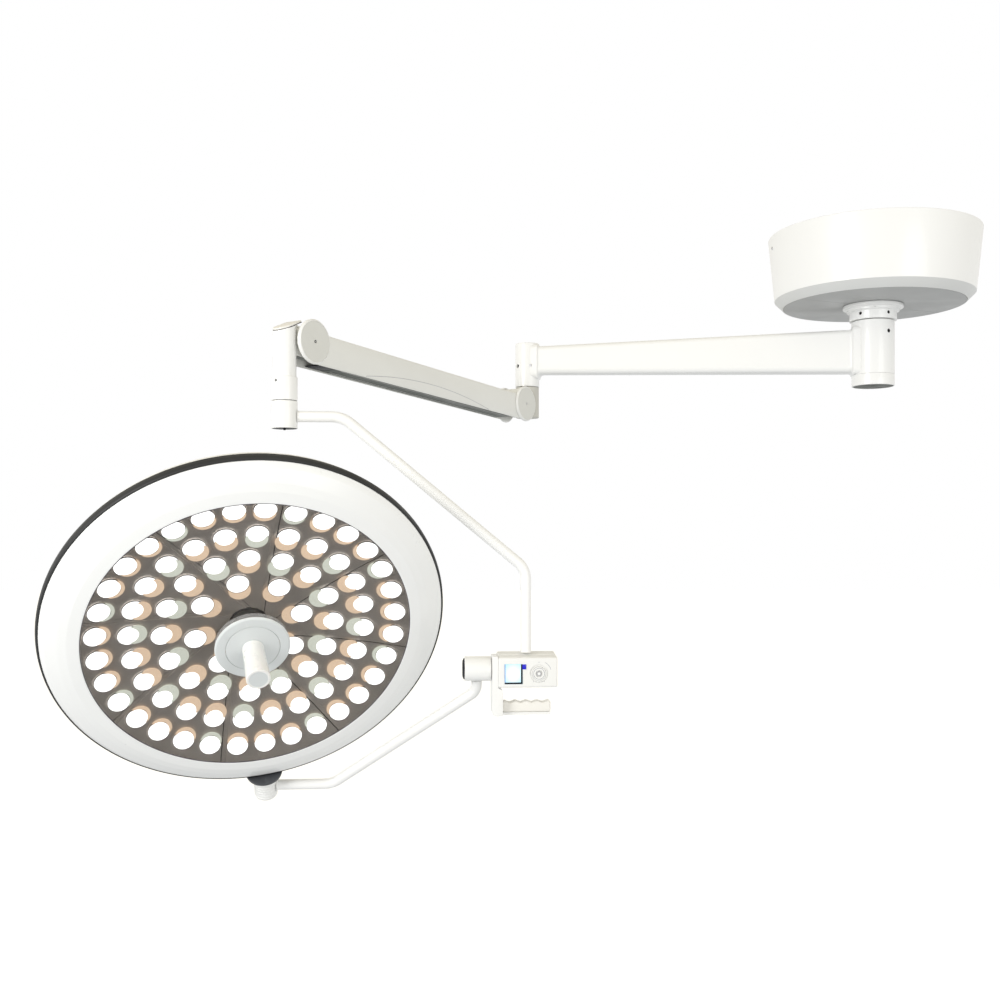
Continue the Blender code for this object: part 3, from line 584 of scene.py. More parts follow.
gasket_rubber = finish(
    "gasket_rubber", (0.050, 0.040, 0.055), 0.55, cloud=(12.0, 0.2), smudge=(40, 0.1),
    grain=(1900, 0.00004),
)
steel = finish(
    "bright_steel", (0.60, 0.60, 0.61), 0.28, 1.0, cloud=(9.0, 0.06), smudge=(35, 0.10),
    brushed=(120, 120, 4500), edge=((0.75, 0.75, 0.75), 0.4),
)
black_steel = finish(
    "black_oxide_steel", (0.022, 0.022, 0.024), 0.50, 0.2, cloud=(20.0, 0.15), smudge=(60, 0.12),
    grain=(2600, 0.00003), edge=((0.30, 0.30, 0.30), 0.5),
)
dark_steel = finish(
    "blackened_steel", (0.10, 0.10, 0.105), 0.42, 0.7, cloud=(20.0, 0.15), smudge=(60, 0.12),
    grain=(2600, 0.00003), edge=((0.35, 0.35, 0.35), 0.5),
)
aluminium = finish(
    "bare_aluminium", (0.46, 0.46, 0.44), 0.42, 1.0, cloud=(6.0, 0.08), smudge=(28, 0.12),
    brushed=(4200, 90, 90), edge=((0.7, 0.7, 0.7), 0.4),
)
# Dark enamel whose darkness is painted shade: the arm's underside, the hub cap's recess and the bracket
# tongue's lower face take it where they lie in shade.
painted_shade_dark = finish(
    "dark_painted_shade_enamel", (0.085, 0.095, 0.080), 0.50, cloud=(8.0, 0.12), smudge=(25, 0.12),
    peel=(380, 0.00005), edge=((0.25, 0.26, 0.24), 0.4),
)
hub_plastic = finish(
    "hub_moulding", (0.70, 0.73, 0.73), 0.36, cloud=(7.0, 0.025), smudge=(30, 0.07),
    grain=(2000, 0.00002), edge=((0.86, 0.86, 0.86), 0.3),
)
handle_plastic = finish(
    "handle_moulding", (0.90, 0.89, 0.87), 0.30, cloud=(9.0, 0.02), smudge=(30, 0.08),
    grain=(1500, 0.00002), edge=((0.80, 0.80, 0.78), 0.3), Subsurface_Weight=0.05,
)
module_plastic = finish(
    "led_module_moulding", (0.60, 0.55, 0.50), 0.45, cloud=(9.0, 0.10), smudge=(25, 0.12),
    peel=(200, 0.00004), grain=(1600, 0.00005), edge=((0.55, 0.52, 0.48), 0.5),
)
board_green = finish(
    "circuit_board", (0.03, 0.17, 0.08), 0.45, cloud=(60.0, 0.15), smudge=(90, 0.10),
    grain=(1600, 0.00004), speck=((0.55, 0.50, 0.25), 260.0, 0.9),
)
paint_mark = finish(
    "printed_mark", (0.38, 0.40, 0.43), 0.5, cloud=(60.0, 0.08), smudge=(90, 0.08), grain=(2500, 0.00002),
)
# A grey that paints the shade of the groove on the arm covers; the power button is the same grey.
groove_grey = finish(
    "groove_shadow", (0.50, 0.50, 0.52), 0.6, cloud=(60.0, 0.08), smudge=(90, 0.08), grain=(2500, 0.00002),
)
blue_film = finish(
    "blue_film", (0.010, 0.012, 0.62), 0.30, cloud=(80.0, 0.08), smudge=(120, 0.08), grain=(1500, 0.00002),
)
blue_strip = finish(
    "screen_edge_blue", (0.08, 0.19, 0.60), 0.35, cloud=(80.0, 0.08), smudge=(120, 0.08),
    grain=(1500, 0.00002),
)


def tinted(name, colour, rough, alpha, ripple):
    """A clear plastic with a tint, seen through as a share of what lies behind."""
    n = Nodes(name)
    smear = n.noise(6.0, 5.0, 0.6)
    n.shows("Base Color", n.mixed(n.ranged(smear, 0, 1), shade(colour, 0.85), colour))
    n.shows("Roughness", n.ranged(n.noise(18.0, 5.0, 0.6), rough * 0.5, rough * 1.6))
    n.shows("Normal", n.bumped(n.noise(9.0, 1.0), ripple))
    n.shows("Alpha", n.ranged(n.noise(4.0, 3.0), alpha - 0.015, alpha + 0.015))
    n.shader.inputs["Coat Weight"].default_value = 0.5
    n.shader.inputs["Coat Roughness"].default_value = 0.03
    return n.made


def glowing(name, colour, strength, base, facets):
    """A lens or a display that gives its own light, with a moulded pattern in its front. On the reflector
    cups the glow is painted reflected light.
    """
    n = Nodes(name)
    cells = n.add("TexVoronoi", {"Vector": n.where, "Scale": facets}).outputs["Distance"]
    n.shows("Base Color", n.mixed(n.ranged(cells, 0, 1, 0, 1), base, shade(base, 0.9)))
    glow = n.mixed(n.ranged(cells, 0, 1, 0.1, 1), colour, shade(colour, 0.9))
    n.shows("Emission Color", glow)
    n.shows("Roughness", n.ranged(n.noise(50.0), 0.12, 0.26))
    n.shows("Normal", n.bumped(cells, 0.0004, 0.4))
    n.shader.inputs["Emission Strength"].default_value = strength
    return n.made


smoked = tinted("smoked_lens", (0.085, 0.077, 0.068), 0.05, 0.34, 0.00001)
collar_clear = tinted("clear_acrylic", (0.62, 0.62, 0.62), 0.08, 0.30, 0.00002)
lens_white = glowing("led_lens", (1.0, 0.995, 0.98), 3.4, (0.9, 0.9, 0.9), 420)
# The cups behind the lenses glow warm and cool: painted reflections, crescents of reflected light beside each
# lens.
warm_painted_reflection = glowing("reflector_glow_painted_warm", (0.80, 0.59, 0.41), 1.75, (0.45, 0.36, 0.28), 300)
cool_painted_reflection = glowing("reflector_glow_painted_cool", (0.60, 0.63, 0.55), 1.9, (0.42, 0.42, 0.36), 300)


def display_material():
    """A backlit display: white in the middle, pale cyan towards its edges."""
    n = Nodes("screen_glass")
    low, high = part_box("display_screen")
    middle = (low + high) / 2
    size = high - low
    local = n.add(
        "VectorMath", {0: n.where, 1: tuple(middle)}, operation="SUBTRACT"
    ).outputs[0]
    scaled = n.add(
        "VectorMath", {0: local, 1: (2 / size.x, 0.0, 2 / size.z)}, operation="MULTIPLY"
    ).outputs[0]
    reach = n.add("VectorMath", {0: scaled}, operation="LENGTH").outputs["Value"]
    pale = n.mixed(n.ranged(reach, 0, 1, 0.45, 1.25), (0.93, 0.97, 1.0), (0.42, 0.80, 0.95))
    pixels = n.add("TexVoronoi", {"Vector": n.where, "Scale": 2600.0}).outputs["Distance"]
    lit = n.mixed(n.ranged(pixels, 0.0, 0.25, 0.2, 0.9), pale, (0.55, 0.75, 0.85))
    glass = n.mixed(n.ranged(reach, 0, 1, 0.4, 1.3), (0.6, 0.66, 0.7), (0.3, 0.5, 0.6))
    n.shows("Base Color", glass)
    n.shows("Emission Color", lit)
    n.shows("Roughness", n.ranged(n.noise(90.0), 0.06, 0.14))
    n.shows("Normal", n.bumped(n.noise(60.0), 0.00001))
    n.shader.inputs["Emission Strength"].default_value = 0.55
    return n.made


screen_glow = display_material()

# Ceiling mount

MOUNT = "ceiling_mount"


def canopy():
    wall = 0.0025
    top_r, low_r, floor_r = 0.232, 0.218, 0.199
    outside = [(top_r, -0.003, 0.0012), (low_r, -0.143, 0.0022), (floor_r, -0.1615, 0.0009)]
    inside = [
        (floor_r - 0.0008, -0.1591, 0.0003), (low_r - wall, -0.1418, 0.0015), (top_r - wall, -0.003, 0.0008),
    ]
    shell = fine(
        "canopy_shell", turned(outside + inside, 192), enamel, MOUNT,
    )
    # The chamfer band's downward faces take the greyer enamel: painted shade.
    band_low, band_high, steepest = -0.1612, -0.1430, -0.3
    second_material(
        shell, band_shade_grey, WORLD,
        lambda spot, normal: normal.z < steepest and band_low < spot.z < band_high,
    )
    hole_r = 0.0460
    seam = radians(23)
    for name, start, away in (("canopy_floor_front", 180, -1), ("canopy_floor_back", 0, 1)):
        rim = arc((0, 0), floor_r - 0.0016, start, start + 180, 96)
        hole = arc((0, 0), hole_r, start + 180, start, 40)
        shift = Vector((0, away * 0.0006, 0))
        place = Matrix.Rotation(seam, 4, "Z") @ Matrix.Translation(shift)
        half = softened(raw(prism(rim + hole, -0.1613, -0.1593, "Z"), place), 0.0007, 2)
        # The floor halves take the darker grey: painted shade under the canopy.
        fine(name, half, underside_shade_grey, MOUNT)
    screws = []
    for bearing in (radians(180), radians(60)):
        spot = radial(WORLD, 0.2293, bearing, -0.030)
        screws.append((socket_screw(0.0042, 0.006, 0.0018, 0.001, 0.0016), spot))
    piece("canopy_side_screws", merged(screws), steel, MOUNT)


def ceiling_plate():
    disc = raw(turned([(0, -0.012), (0.120, -0.012, 0.001), (0.120, 0, 0.0006), (0, 0)], 128))
    holes = [
        raw(rod(0.007, -0.02, 0.01, 32), Matrix.Translation((0.095 * cos(t), 0.095 * sin(t), 0)))
        for t in (radians(30 + 60 * k) for k in range(6))
    ]
    cut(disc, *holes)
    fine("ceiling_plate", softened(disc, 0.0006), steel, MOUNT)


def power_supply():
    low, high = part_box("power_supply")
    case = softened(raw(block(low, high)), 0.0025, 3)
    slots = []
    for k in range(11):
        x = low.x + 0.020 + k * (high.x - low.x - 0.040) / 10
        start = (x - 0.0022, low.y + 0.012, low.z - 0.01)
        end = (x + 0.0022, high.y - 0.012, low.z + 0.003)
        slots.append(raw(block(start, end)))
    cut(case, *slots)
    piece("power_supply_case", case, aluminium, MOUNT, stands_for="power_supply")
    lugs = []
    for k in range(5):
        y = low.y + 0.012 + k * (high.y - low.y - 0.024) / 4
        place = Matrix.Translation((high.x, y, (low.z + high.z) / 2)) @ Matrix.Rotation(pi / 2, 4, "Y")
        lugs.append((socket_screw(0.0038, 0.004, 0.0016, 0.001, 0.0022), place))
    piece("supply_terminals", merged(lugs), steel, MOUNT)


def drop_flange():
    inner = 0.0283
    steps = [
        (inner, -0.0123), (0.045, -0.0123, 0.0006), (0.045, -0.1619, 0.0006), (0.066, -0.1619, 0.0006),
        (0.066, -0.1685, 0.0012), (0.0575, -0.1705, 0.0008), (0.0575, -0.1760, 0.0010),
        (0.0515, -0.1775, 0.0008), (0.0515, -0.1965, 0.0009), (inner, -0.1965, 0.0004),
    ]
    ring = raw(turned(steps, 144))
    screws, holes = [], []
    for k in range(5):
        bearing = radians(220 + 72 * k)
        spot = radial(WORLD, 0.0515, bearing, -0.1840)
        holes.append(raw(rod(0.0038, -0.010, 0.004, 36, 0), spot))
        sunk = spot @ Matrix.Translation((0, 0, -0.0014))
        screws.append((socket_screw(0.0036, 0.007, 0.0017, 0.002), sunk))
    holes.append(raw(rod(0.0011, -0.006, 0.004, 24, 0), radial(WORLD, 0.0575, radians(256), -0.1732)))
    cut(ring, *holes)
    fine("drop_flange", ring, enamel, MOUNT)
    piece("flange_set_screws", merged(screws), black_steel, MOUNT)


canopy()
ceiling_plate()
power_supply()
drop_flange()

# Horizontal arm

BOOM = "horizontal_arm"


def flare(distance, radius):
    """How far a fillet of that radius stands out, at that distance from the wall it leads into."""
    if distance >= radius:
        return 0.0
    distance = max(distance, 0.0)
    return radius - sqrt(radius**2 - (radius - distance) ** 2)


def rounded_box(half, low, high, corner, steps=6):
    """A rounded rectangle in Y and Z."""
    out = []
    centres = ((1, half, high, 0), (-1, half, high, 90), (-1, half, low, 180), (1, half, low, 270))
    for side, h, z, start in centres:
        up = -1 if z == high else 1
        out += arc((side * (h - corner), z + up * corner), corner, start, start + 90, steps)
    return out


def boom():
    sections = []
    first, last = 0.030, ARM_LENGTH - 0.012
    xs = [first + (last - first) * i / 24 for i in range(25)]
    xs += [HUB_R - 0.001 + 0.018 * k / 8 for k in range(9)]
    xs += [ARM_LENGTH - END_R + 0.001 - 0.018 * k / 8 for k in range(9)]
    for x in sorted(xs):
        share = (x - first) / (last - first)
        half = 0.031 + (0.024 - 0.031) * share
        low, high = -0.314 + 0.019 * share, -0.217 - 0.0125 * share
        near, far = x - HUB_R * 0.99, ARM_LENGTH - END_R * 0.99 - x
        low -= flare(near, 0.005) + flare(far, 0.011)
        high += flare(near, 0.008) + flare(far, 0.005)
        half += flare(near, 0.006) + flare(far, 0.004)
        low, high = max(low, HUB_SEAM + 0.0004), min(high, -0.199)
        if far < 0.02:
            low, high = max(low, END_LOW + 0.0004), min(high, END_TOP - 0.0004)
        sections.append([(x, y, z) for y, z in rounded_box(half, low, high, 0.012)])
    beam = raw(loft(sections), ARM)
    hub = [(0, HUB_SEAM), (HUB_R, HUB_SEAM, 0.0004), (HUB_R, HUB_TOP, 0.0022), (0, HUB_TOP)]
    end = [(0, END_LOW), (END_R, END_LOW, 0.0006), (END_R, END_TOP, 0.0022), (0, END_TOP)]
    outer = ARM @ Matrix.Translation((ARM_LENGTH, 0, 0))
    join(beam, raw(turned(hub, 128), ARM), raw(turned(end, 96), outer))
    bores = [raw(rod(0.036, HUB_SEAM - 0.01, HUB_TOP + 0.01, 64, 0), ARM)]
    bores.append(raw(rod(0.0186, END_LOW - 0.01, END_TOP - 0.012, 64, 0), outer))
    shaped = []
    for name, place, radius, bearing, height, size, sunk in (
        ("brake_screw", ARM, HUB_R, 129.5, -0.2246, 0.0042, 0.0006),
        ("end_screw_left", outer, END_R, 47, -0.2763, 0.0045, 0.0034),
        ("end_screw_right", outer, END_R, 115, -0.2763, 0.0030, 0.0004),
    ):
        spot = radial(place, radius, radians(bearing), height)
        bores.append(raw(rod(size + 0.0003, -0.008, 0.006, 40, 0), spot))
        shaped.append((name, size, spot @ Matrix.Translation((0, 0, -sunk))))
    cut(beam, *bores)
    fine("arm_casting", beam, enamel, BOOM, sharp=28)
    for name, size, spot in shaped:
        screw = socket_screw(size, 0.0045, size * 0.52, 0.0018)
        tone = steel if name == "end_screw_right" else black_steel
        fine(name, screw, tone, BOOM, spot)
    cap = [
        (0, HUB_END + 0.0035), (HUB_R - 0.0030, HUB_END + 0.0035, 0.0004), (HUB_R - 0.0024, HUB_END, 0.0005),
        (HUB_R, HUB_END + 0.0008, 0.0016), (HUB_R, HUB_SEAM - GAP, 0.0004), (HUB_R - 0.004, HUB_SEAM - GAP),
        (HUB_R - 0.004, HUB_END + 0.0075), (0, HUB_END + 0.0075),
    ]
    fine("hub_end_cap", turned(cap, 128), enamel, BOOM, ARM)
    # A dark disc in the recess under the hub cap: painted shade in that hollow.
    hub_shade_r = HUB_R - 0.0034
    hub_shade_profile = [
        (0, HUB_END + 0.0004), (0.0040, HUB_END + 0.0004, 0.0006), (0.0050, HUB_END + 0.0012, 0.0006),
        (hub_shade_r - 0.003, HUB_END + 0.0012, 0.0006), (hub_shade_r, HUB_END + 0.0006, 0.0005),
        (hub_shade_r, HUB_END + 0.0033), (0, HUB_END + 0.0033),
    ]
    piece("hub_cap_shade_disc", turned(hub_shade_profile, 128), painted_shade_dark, BOOM, ARM)


boom()

# Knuckle

ACROSS = Matrix.Rotation(pi / 2, 4, "X")  # turns a shape about Z into one about -Y


def tongue(place, reach, low, high):
    side = 1 if reach > 0 else -1
    ends = arc((0, 0), 0.031, 90, 90 + 180 * side, 40)
    return raw(prism(ends + [(reach, low), (reach, high)], *TONGUE_Y), place)


def knuckle():
    radius, low, top = 0.028, -0.400, -0.3265
    post = [(0, low), (radius, low, 0.0016), (radius, top, 0.0010), (0, top)]
    body = raw(turned(post, 96), KNUCKLE)
    rooms = [
        raw(rod(DISC_R + 0.0008, start, end, 96, 0), NEAR @ ACROSS)
        for start, end in ((-TONGUE_Y[0], 0.05), (-0.05, -TONGUE_Y[1]))
    ]
    cut(body, *rooms)
    join(body, tongue(NEAR, -KNUCKLE_REACH, -0.026, 0.0435))
    well = raw(rod(0.0183, -0.3503, -0.30, 48, 0), KNUCKLE)
    bore = raw(rod(PIN_R + GAP, -0.05, 0.05, 40, 0), NEAR @ ACROSS)
    cut(body, well, bore)
    stub = NEAR @ Matrix.Translation((0, 0, -0.020)) @ ACROSS
    join(body, raw(rod(0.0025, 0.0010, 0.0230, 24), stub))
    fine("knuckle_block", body, knuckle_enamel, "knuckle")


knuckle()

# Sprung arm

SPRUNG = "spring_arm"


def side_outline(inset=0.0, steps=36):
    """The cover's side: round ends, a straight lower edge, and a top that dips between."""
    top, fillet = SIDE_TOP - inset, SIDE_FILLET + inset
    rise = top + fillet

    def lead(radius):
        reach = radius + fillet
        return sqrt(reach**2 - rise**2), degrees(asin(rise / reach))

    near_r, far_r = NEAR_R - inset, FAR_R - inset
    (near, near_turn), (far, far_turn) = lead(near_r), lead(far_r)
    outline = arc((0, 0), near_r, near_turn, 270, steps)
    outline += arc((SPRING_LENGTH, 0), far_r, -90, 180 - far_turn, steps)
    outline += arc((SPRING_LENGTH - far, rise), fillet, -far_turn, -90, steps // 3)
    return outline + arc((near, rise), fillet, -90, -180 + near_turn, steps // 3)


def arm_cover(name, side):
    layers = ((0.0003, 0), (0.0246, 0), (0.0256, 0.0003), (0.0264, 0.0010), (0.0270, 0.0022))
    sections = [[(x, side * y, z) for x, z in side_outline(inset)] for y, inset in layers]
    shell = raw(loft(sections), LIFT)
    inner = side * (COVER_Y - COVER_WALL)
    hollow = raw(prism(side_outline(COVER_WALL), *sorted((-side * 0.01, inner))), LIFT)
    length, past = SPRING_LENGTH, 0.060
    opening = [
        (-past, past), (0.0140, past), (0.0140, 0), (0.046, 0), (0.046, -0.020), (length - 0.078, -0.020),
        (length - 0.078, 0), (length - 0.0140, 0), (length - 0.0140, past), (length + past, past),
        (length + past, -past), (-past, -past),
    ]
    opened = raw(prism(opening, *sorted((-side * 0.012, inner + side * 0.0001))), LIFT)
    # A thin grey bead along an arch on the cover's side: painted shade of a groove there.
    apex, spread, sagitta, crest = 0.3615, 0.2315, 0.0232, -0.0171
    bend = (spread**2 + sagitta**2) / (2 * sagitta)
    turn = degrees(asin(0.212 / bend))
    line = arc((apex, crest - bend), bend, 90 - turn, 90 + turn, 60)
    swoosh = swept([Vector((x, side * (COVER_Y - 0.0006), z)) for x, z in line], 0.0009, 10)
    cut(shell, hollow, opened)
    bores = [
        raw(rod(PIN_R + 0.0006, -0.05, 0.05, 40, 0), LIFT @ Matrix.Translation((x, 0, 0)) @ ACROSS)
        for x in (0, length)
    ]
    cut(shell, *bores)
    fine(name, shell, cover_plastic, SPRUNG, sharp=30)
    piece(f"{name}_swoosh", swoosh, groove_grey, SPRUNG, LIFT)


def pivot_disc(place, x, side):
    """A white ring with a grey face let into it, and a small screw in the middle."""
    name = f"{'near' if place == 'near' else 'far'}_disc_{'right' if side > 0 else 'left'}"
    turn = Matrix.Rotation(-pi / 2 * side, 4, "X")
    spot = LIFT @ Matrix.Translation((x, side * (COVER_Y + GAP), 0)) @ turn
    rim = [
        (0.0368, 0), (DISC_R, 0, 0.0003), (DISC_R, DISC_T * 0.45, 0.0022), (0.0386, DISC_T, 0.0010),
        (0.0378, DISC_T, 0.0003), (0.0378, DISC_T - 0.0007), (0.0368, DISC_T - 0.0007),
    ]
    piece(f"{name}_rim", turned(rim, 128), rim_plastic, SPRUNG, spot, name)
    face = [
        (0, 0.0003), (0.0365, 0.0003), (0.0365, DISC_T - 0.0007), (0.0375, DISC_T - 0.0004),
        (0.0373, DISC_T - 0.0001, 0.0003), (0.0120, DISC_T + 0.0002), (0.0040, DISC_T + 0.0002, 0.0002),
        (0.0032, DISC_T - 0.0008, 0.0002), (0, DISC_T - 0.0008),
    ]
    piece(f"{name}_face", turned(face, 96), disc_plastic, SPRUNG, spot)
    screw = socket_screw(0.0026, 0.002, 0.0013, 0.0008)
    seat = spot @ Matrix.Translation((0, 0, DISC_T - 0.0002))
    piece(f"{name}_screw", screw, steel if place == "near" else dark_steel, SPRUNG, seat)


def spring_arm():
    for name, side in (("arm_cover_left", -1), ("arm_cover_right", 1)):
        arm_cover(name, side)
    wall, low, high, half = 0.002, -0.0335, -0.006, 0.0135
    start, end = 0.052, SPRING_LENGTH - 0.090
    channel = [
        (-half, high), (-half, low, 0.003), (half, low, 0.003), (half, high), (half - wall, high),
        (half - wall, low + wall, 0.001), (wall - half, low + wall, 0.001), (wall - half, high),
    ]
    bar = raw(prism([tuple(p) for p in rounded(channel, True)], start, end, "X"), LIFT)
    slots = []
    for k in range(7):
        x = start + 0.045 + k * (end - start - 0.090) / 6
        slots.append(raw(block((x - 0.016, -0.0030, low - 0.01), (x + 0.016, 0.0030, low + 0.006)), LIFT))
    cut(bar, *slots)
    # The channel and the dark sheet under the arm carry painted shade: they darken the arm's shaded
    # underside.
    fine("arm_channel", bar, painted_shade_dark, SPRUNG)
    underside_sheet = softened(raw(block((0.046, -0.0240, -0.0365), (0.646, 0.0240, -0.0347)), LIFT), 0.0004)
    piece("arm_underside_shade_sheet", underside_sheet, painted_shade_dark, SPRUNG)
    # A black block under the far end of the arm, between the covers: painted shade of the arm's open end
    # below the bracket tongue.
    tongue_shade_solid = softened(raw(block((0.648, -0.0238, -0.0362), (0.690, 0.0238, -0.0345)), LIFT), 0.0004)
    piece("arm_end_painted_shade", tongue_shade_solid, black_plastic, SPRUNG)
    rails = [
        (block((0.060, y - 0.0011, -0.0375), (0.632, y + 0.0011, -0.0364)), WORLD)
        for y in (-0.0135, 0.0135)
    ]
    piece("arm_underside_rails", merged(rails), aluminium, SPRUNG, LIFT)
    turns, steps, coil_r, spring_z = 46, 14, 0.0077, -0.0215
    coil = []
    for i in range(turns * steps + 1):
        turn = 2 * pi * i / steps
        x = 0.112 + 0.406 * i / (turns * steps)
        coil.append(Vector((x, coil_r * cos(turn), spring_z + coil_r * sin(turn))))
    coil_bar = swept(coil, 0.0018, 8, up=Vector((1, 0, 0)))
    piece("lift_spring_coil", coil_bar, steel, SPRUNG, LIFT, "lift_spring", sharp=60)
    rod_place = LIFT @ Matrix.Translation((0, 0, spring_z)) @ Matrix.Rotation(pi / 2, 4, "Y")
    parts = [(rod(0.0040, 0.060, 0.560, 32), rod_place)]
    for first, last in ((0.102, 0.1095), (0.5205, 0.528)):
        parts.append((rod(0.0094, first, last, 48, 0.0006), rod_place))
    piece("spring_guide", merged(parts), steel, SPRUNG)
    for place, x in (("near", 0), ("far", SPRING_LENGTH)):
        for side in (-1, 1):
            pivot_disc(place, x, side)


def level_rod():
    low, high = -0.0230, -0.0150
    outline = arc((0, 0), 0.0052, 90, 270, 24) + arc((SPRING_LENGTH, 0), 0.0052, -90, 90, 24)
    bar = raw(prism(outline, low, high), ROD)
    holes = [
        raw(rod(0.0031, -0.05, 0.05, 32, 0), ROD @ Matrix.Translation((x, 0, 0)) @ ACROSS)
        for x in (0, SPRING_LENGTH)
    ]
    cut(bar, *holes)
    fine("level_rod", softened(bar, 0.0006), steel, "level_rod")


spring_arm()
level_rod()

# Head bracket

BRACKET = "head_bracket"
COLUMN_R = 0.0212


def lid_outline(grow=0.0):
    """The slanted top: round over the column, square towards the arm."""
    round_end = arc((0, 0), COLUMN_R + grow, -90, 90, 40)
    return round_end + [(-0.0270 - grow, 0.0190 + grow), (-0.0270 - grow, -0.0190 - grow)]


def head_bracket():
    column = raw(turned([(0, -0.0703), (COLUMN_R, -0.0703), (COLUMN_R, 0.036), (0, 0.036)], 96), SWIVEL)
    tilt = SWIVEL @ Matrix.Translation((0, 0, 0.0225)) @ Matrix.Rotation(radians(24), 4, "Y")
    cut(column, raw(block((-0.06, -0.06, 0), (0.06, 0.06, 0.06)), tilt))
    join(column, tongue(FAR, BRACKET_REACH, -0.026, 0.010))
    cut(
        column,
        raw(rod(0.0143, -0.1, -0.045, 48, 0), SWIVEL),
        raw(rod(PIN_R + GAP, -0.05, 0.05, 40, 0), FAR @ ACROSS),
    )
    stub = FAR @ Matrix.Translation((0, 0, -0.020)) @ ACROSS
    join(column, raw(rod(0.0025, 0.0010, 0.0230, 24), stub))
    made = fine("bracket_column", column, enamel, BRACKET)
    # The lower part of the tongue, near the far pivot, takes the dark enamel: painted shade inside the arm's
    # open end.
    second_material(
        made, painted_shade_dark, FAR,
        lambda spot, _: spot.z < -0.004 and spot.x < BRACKET_REACH - 0.0208,
    )
    lid = softened(raw(prism(lid_outline(), 0.0006, 0.0040, "Z"), tilt), 0.0009, 3, 50)
    fine("bracket_top_cover", lid, cream, BRACKET)
    seam = raw(prism(lid_outline(0.0004), -0.0004, 0.0005, "Z"), tilt)
    piece("bracket_cover_seal", seam, gasket_rubber, BRACKET)
    top, low = -0.0683, -0.1108
    wall = [(0.0215, low, 0.0003), (0.0235, low, 0.0006), (0.0235, top, 0.0010), (0.0215, top, 0.0003)]
    collar = raw(turned(wall, 112), SWIVEL)
    bearing = radians(240) - atan2(side_x.y, side_x.x)
    spot = radial(SWIVEL, 0.0235, bearing, -0.0762)
    cut(collar, raw(rod(0.0025, -0.004, 0.004, 32, 0), spot))
    fine("swivel_collar", collar, enamel, BRACKET)
    seat = spot @ Matrix.Translation((0, 0, -0.0004))
    screw = socket_screw(0.0023, 0.0014, 0.0012, 0.0008)
    piece("collar_set_screw", screw, dark_steel, BRACKET, seat)


head_bracket()

# Upper yoke

UPPER = "upper_yoke"


def upper_yoke():
    top, low, radius = -0.1120, -0.1613, 0.0235
    body = [
        (0.0146, top), (radius, top, 0.0006), (radius, low, 0.0004), (0.0229, low, 0.0002),
        (0.0229, low + 0.0055), (0.0146, low + 0.0055),
    ]
    fine("swivel_sleeve", turned(body, 112), enamel, UPPER, YOKE)
    cap = [
        (0, low - 0.0030), (0.0022, low - 0.0028, 0.0006), (0.0026, low + 0.0006, 0.0004),
        (0.0226, low - 0.0002, 0.0008), (0.0226, low + 0.0052), (0, low + 0.0052),
    ]
    fine("sleeve_cap", turned(cap, 80), black_plastic, UPPER, YOKE)
    corners = [(0.0234, -0.1393), (0.1045, -0.1393), (0.4390, -0.4168), (0.4390, BOX_TOP + 0.0003)]
    pipe = swept(route(corners, (0.055, 0.040), 20), TUBE_R, 56, (0.0024, 0.0010))
    fine("upper_yoke_tube", pipe, tube_enamel_painted_light, UPPER, YOKE, sharp=50)


def box_half(name, front, back):
    def top(y):
        share = (y - BOX_Y[0]) / (BOX_Y[1] - BOX_Y[0])
        return BOX_FRONT_TOP + (BOX_TOP - BOX_FRONT_TOP) * share

    outline = [(front, BOX_LOW), (back, BOX_LOW), (back, top(back)), (front, top(front))]
    bevel = 0.0030 if name == "box_front" else 0.0035
    shell = softened(raw(prism(outline, *BOX_X, axis="X"), YOKE), bevel, 4, 50)
    wall = 0.0025
    inner_front = front + wall if name == "box_front" else front - 0.01
    inner_back = back - wall if name == "box_back" else back + 0.01
    low = (BOX_X[0] + wall, inner_front, BOX_LOW + wall)
    high = (BOX_X[1] - wall, inner_back, BOX_FRONT_TOP - wall)
    return cut(shell, raw(block(low, high), YOKE))


def key_sector(middle, grow=0.0, inner=0.0062, outer=0.0125):
    spread = 44.7 + degrees(grow / inner)
    outside = arc(PAD, outer + grow, middle - spread, middle + spread, 24)
    return outside + arc(PAD, inner - grow, middle + spread, middle - spread, 18)


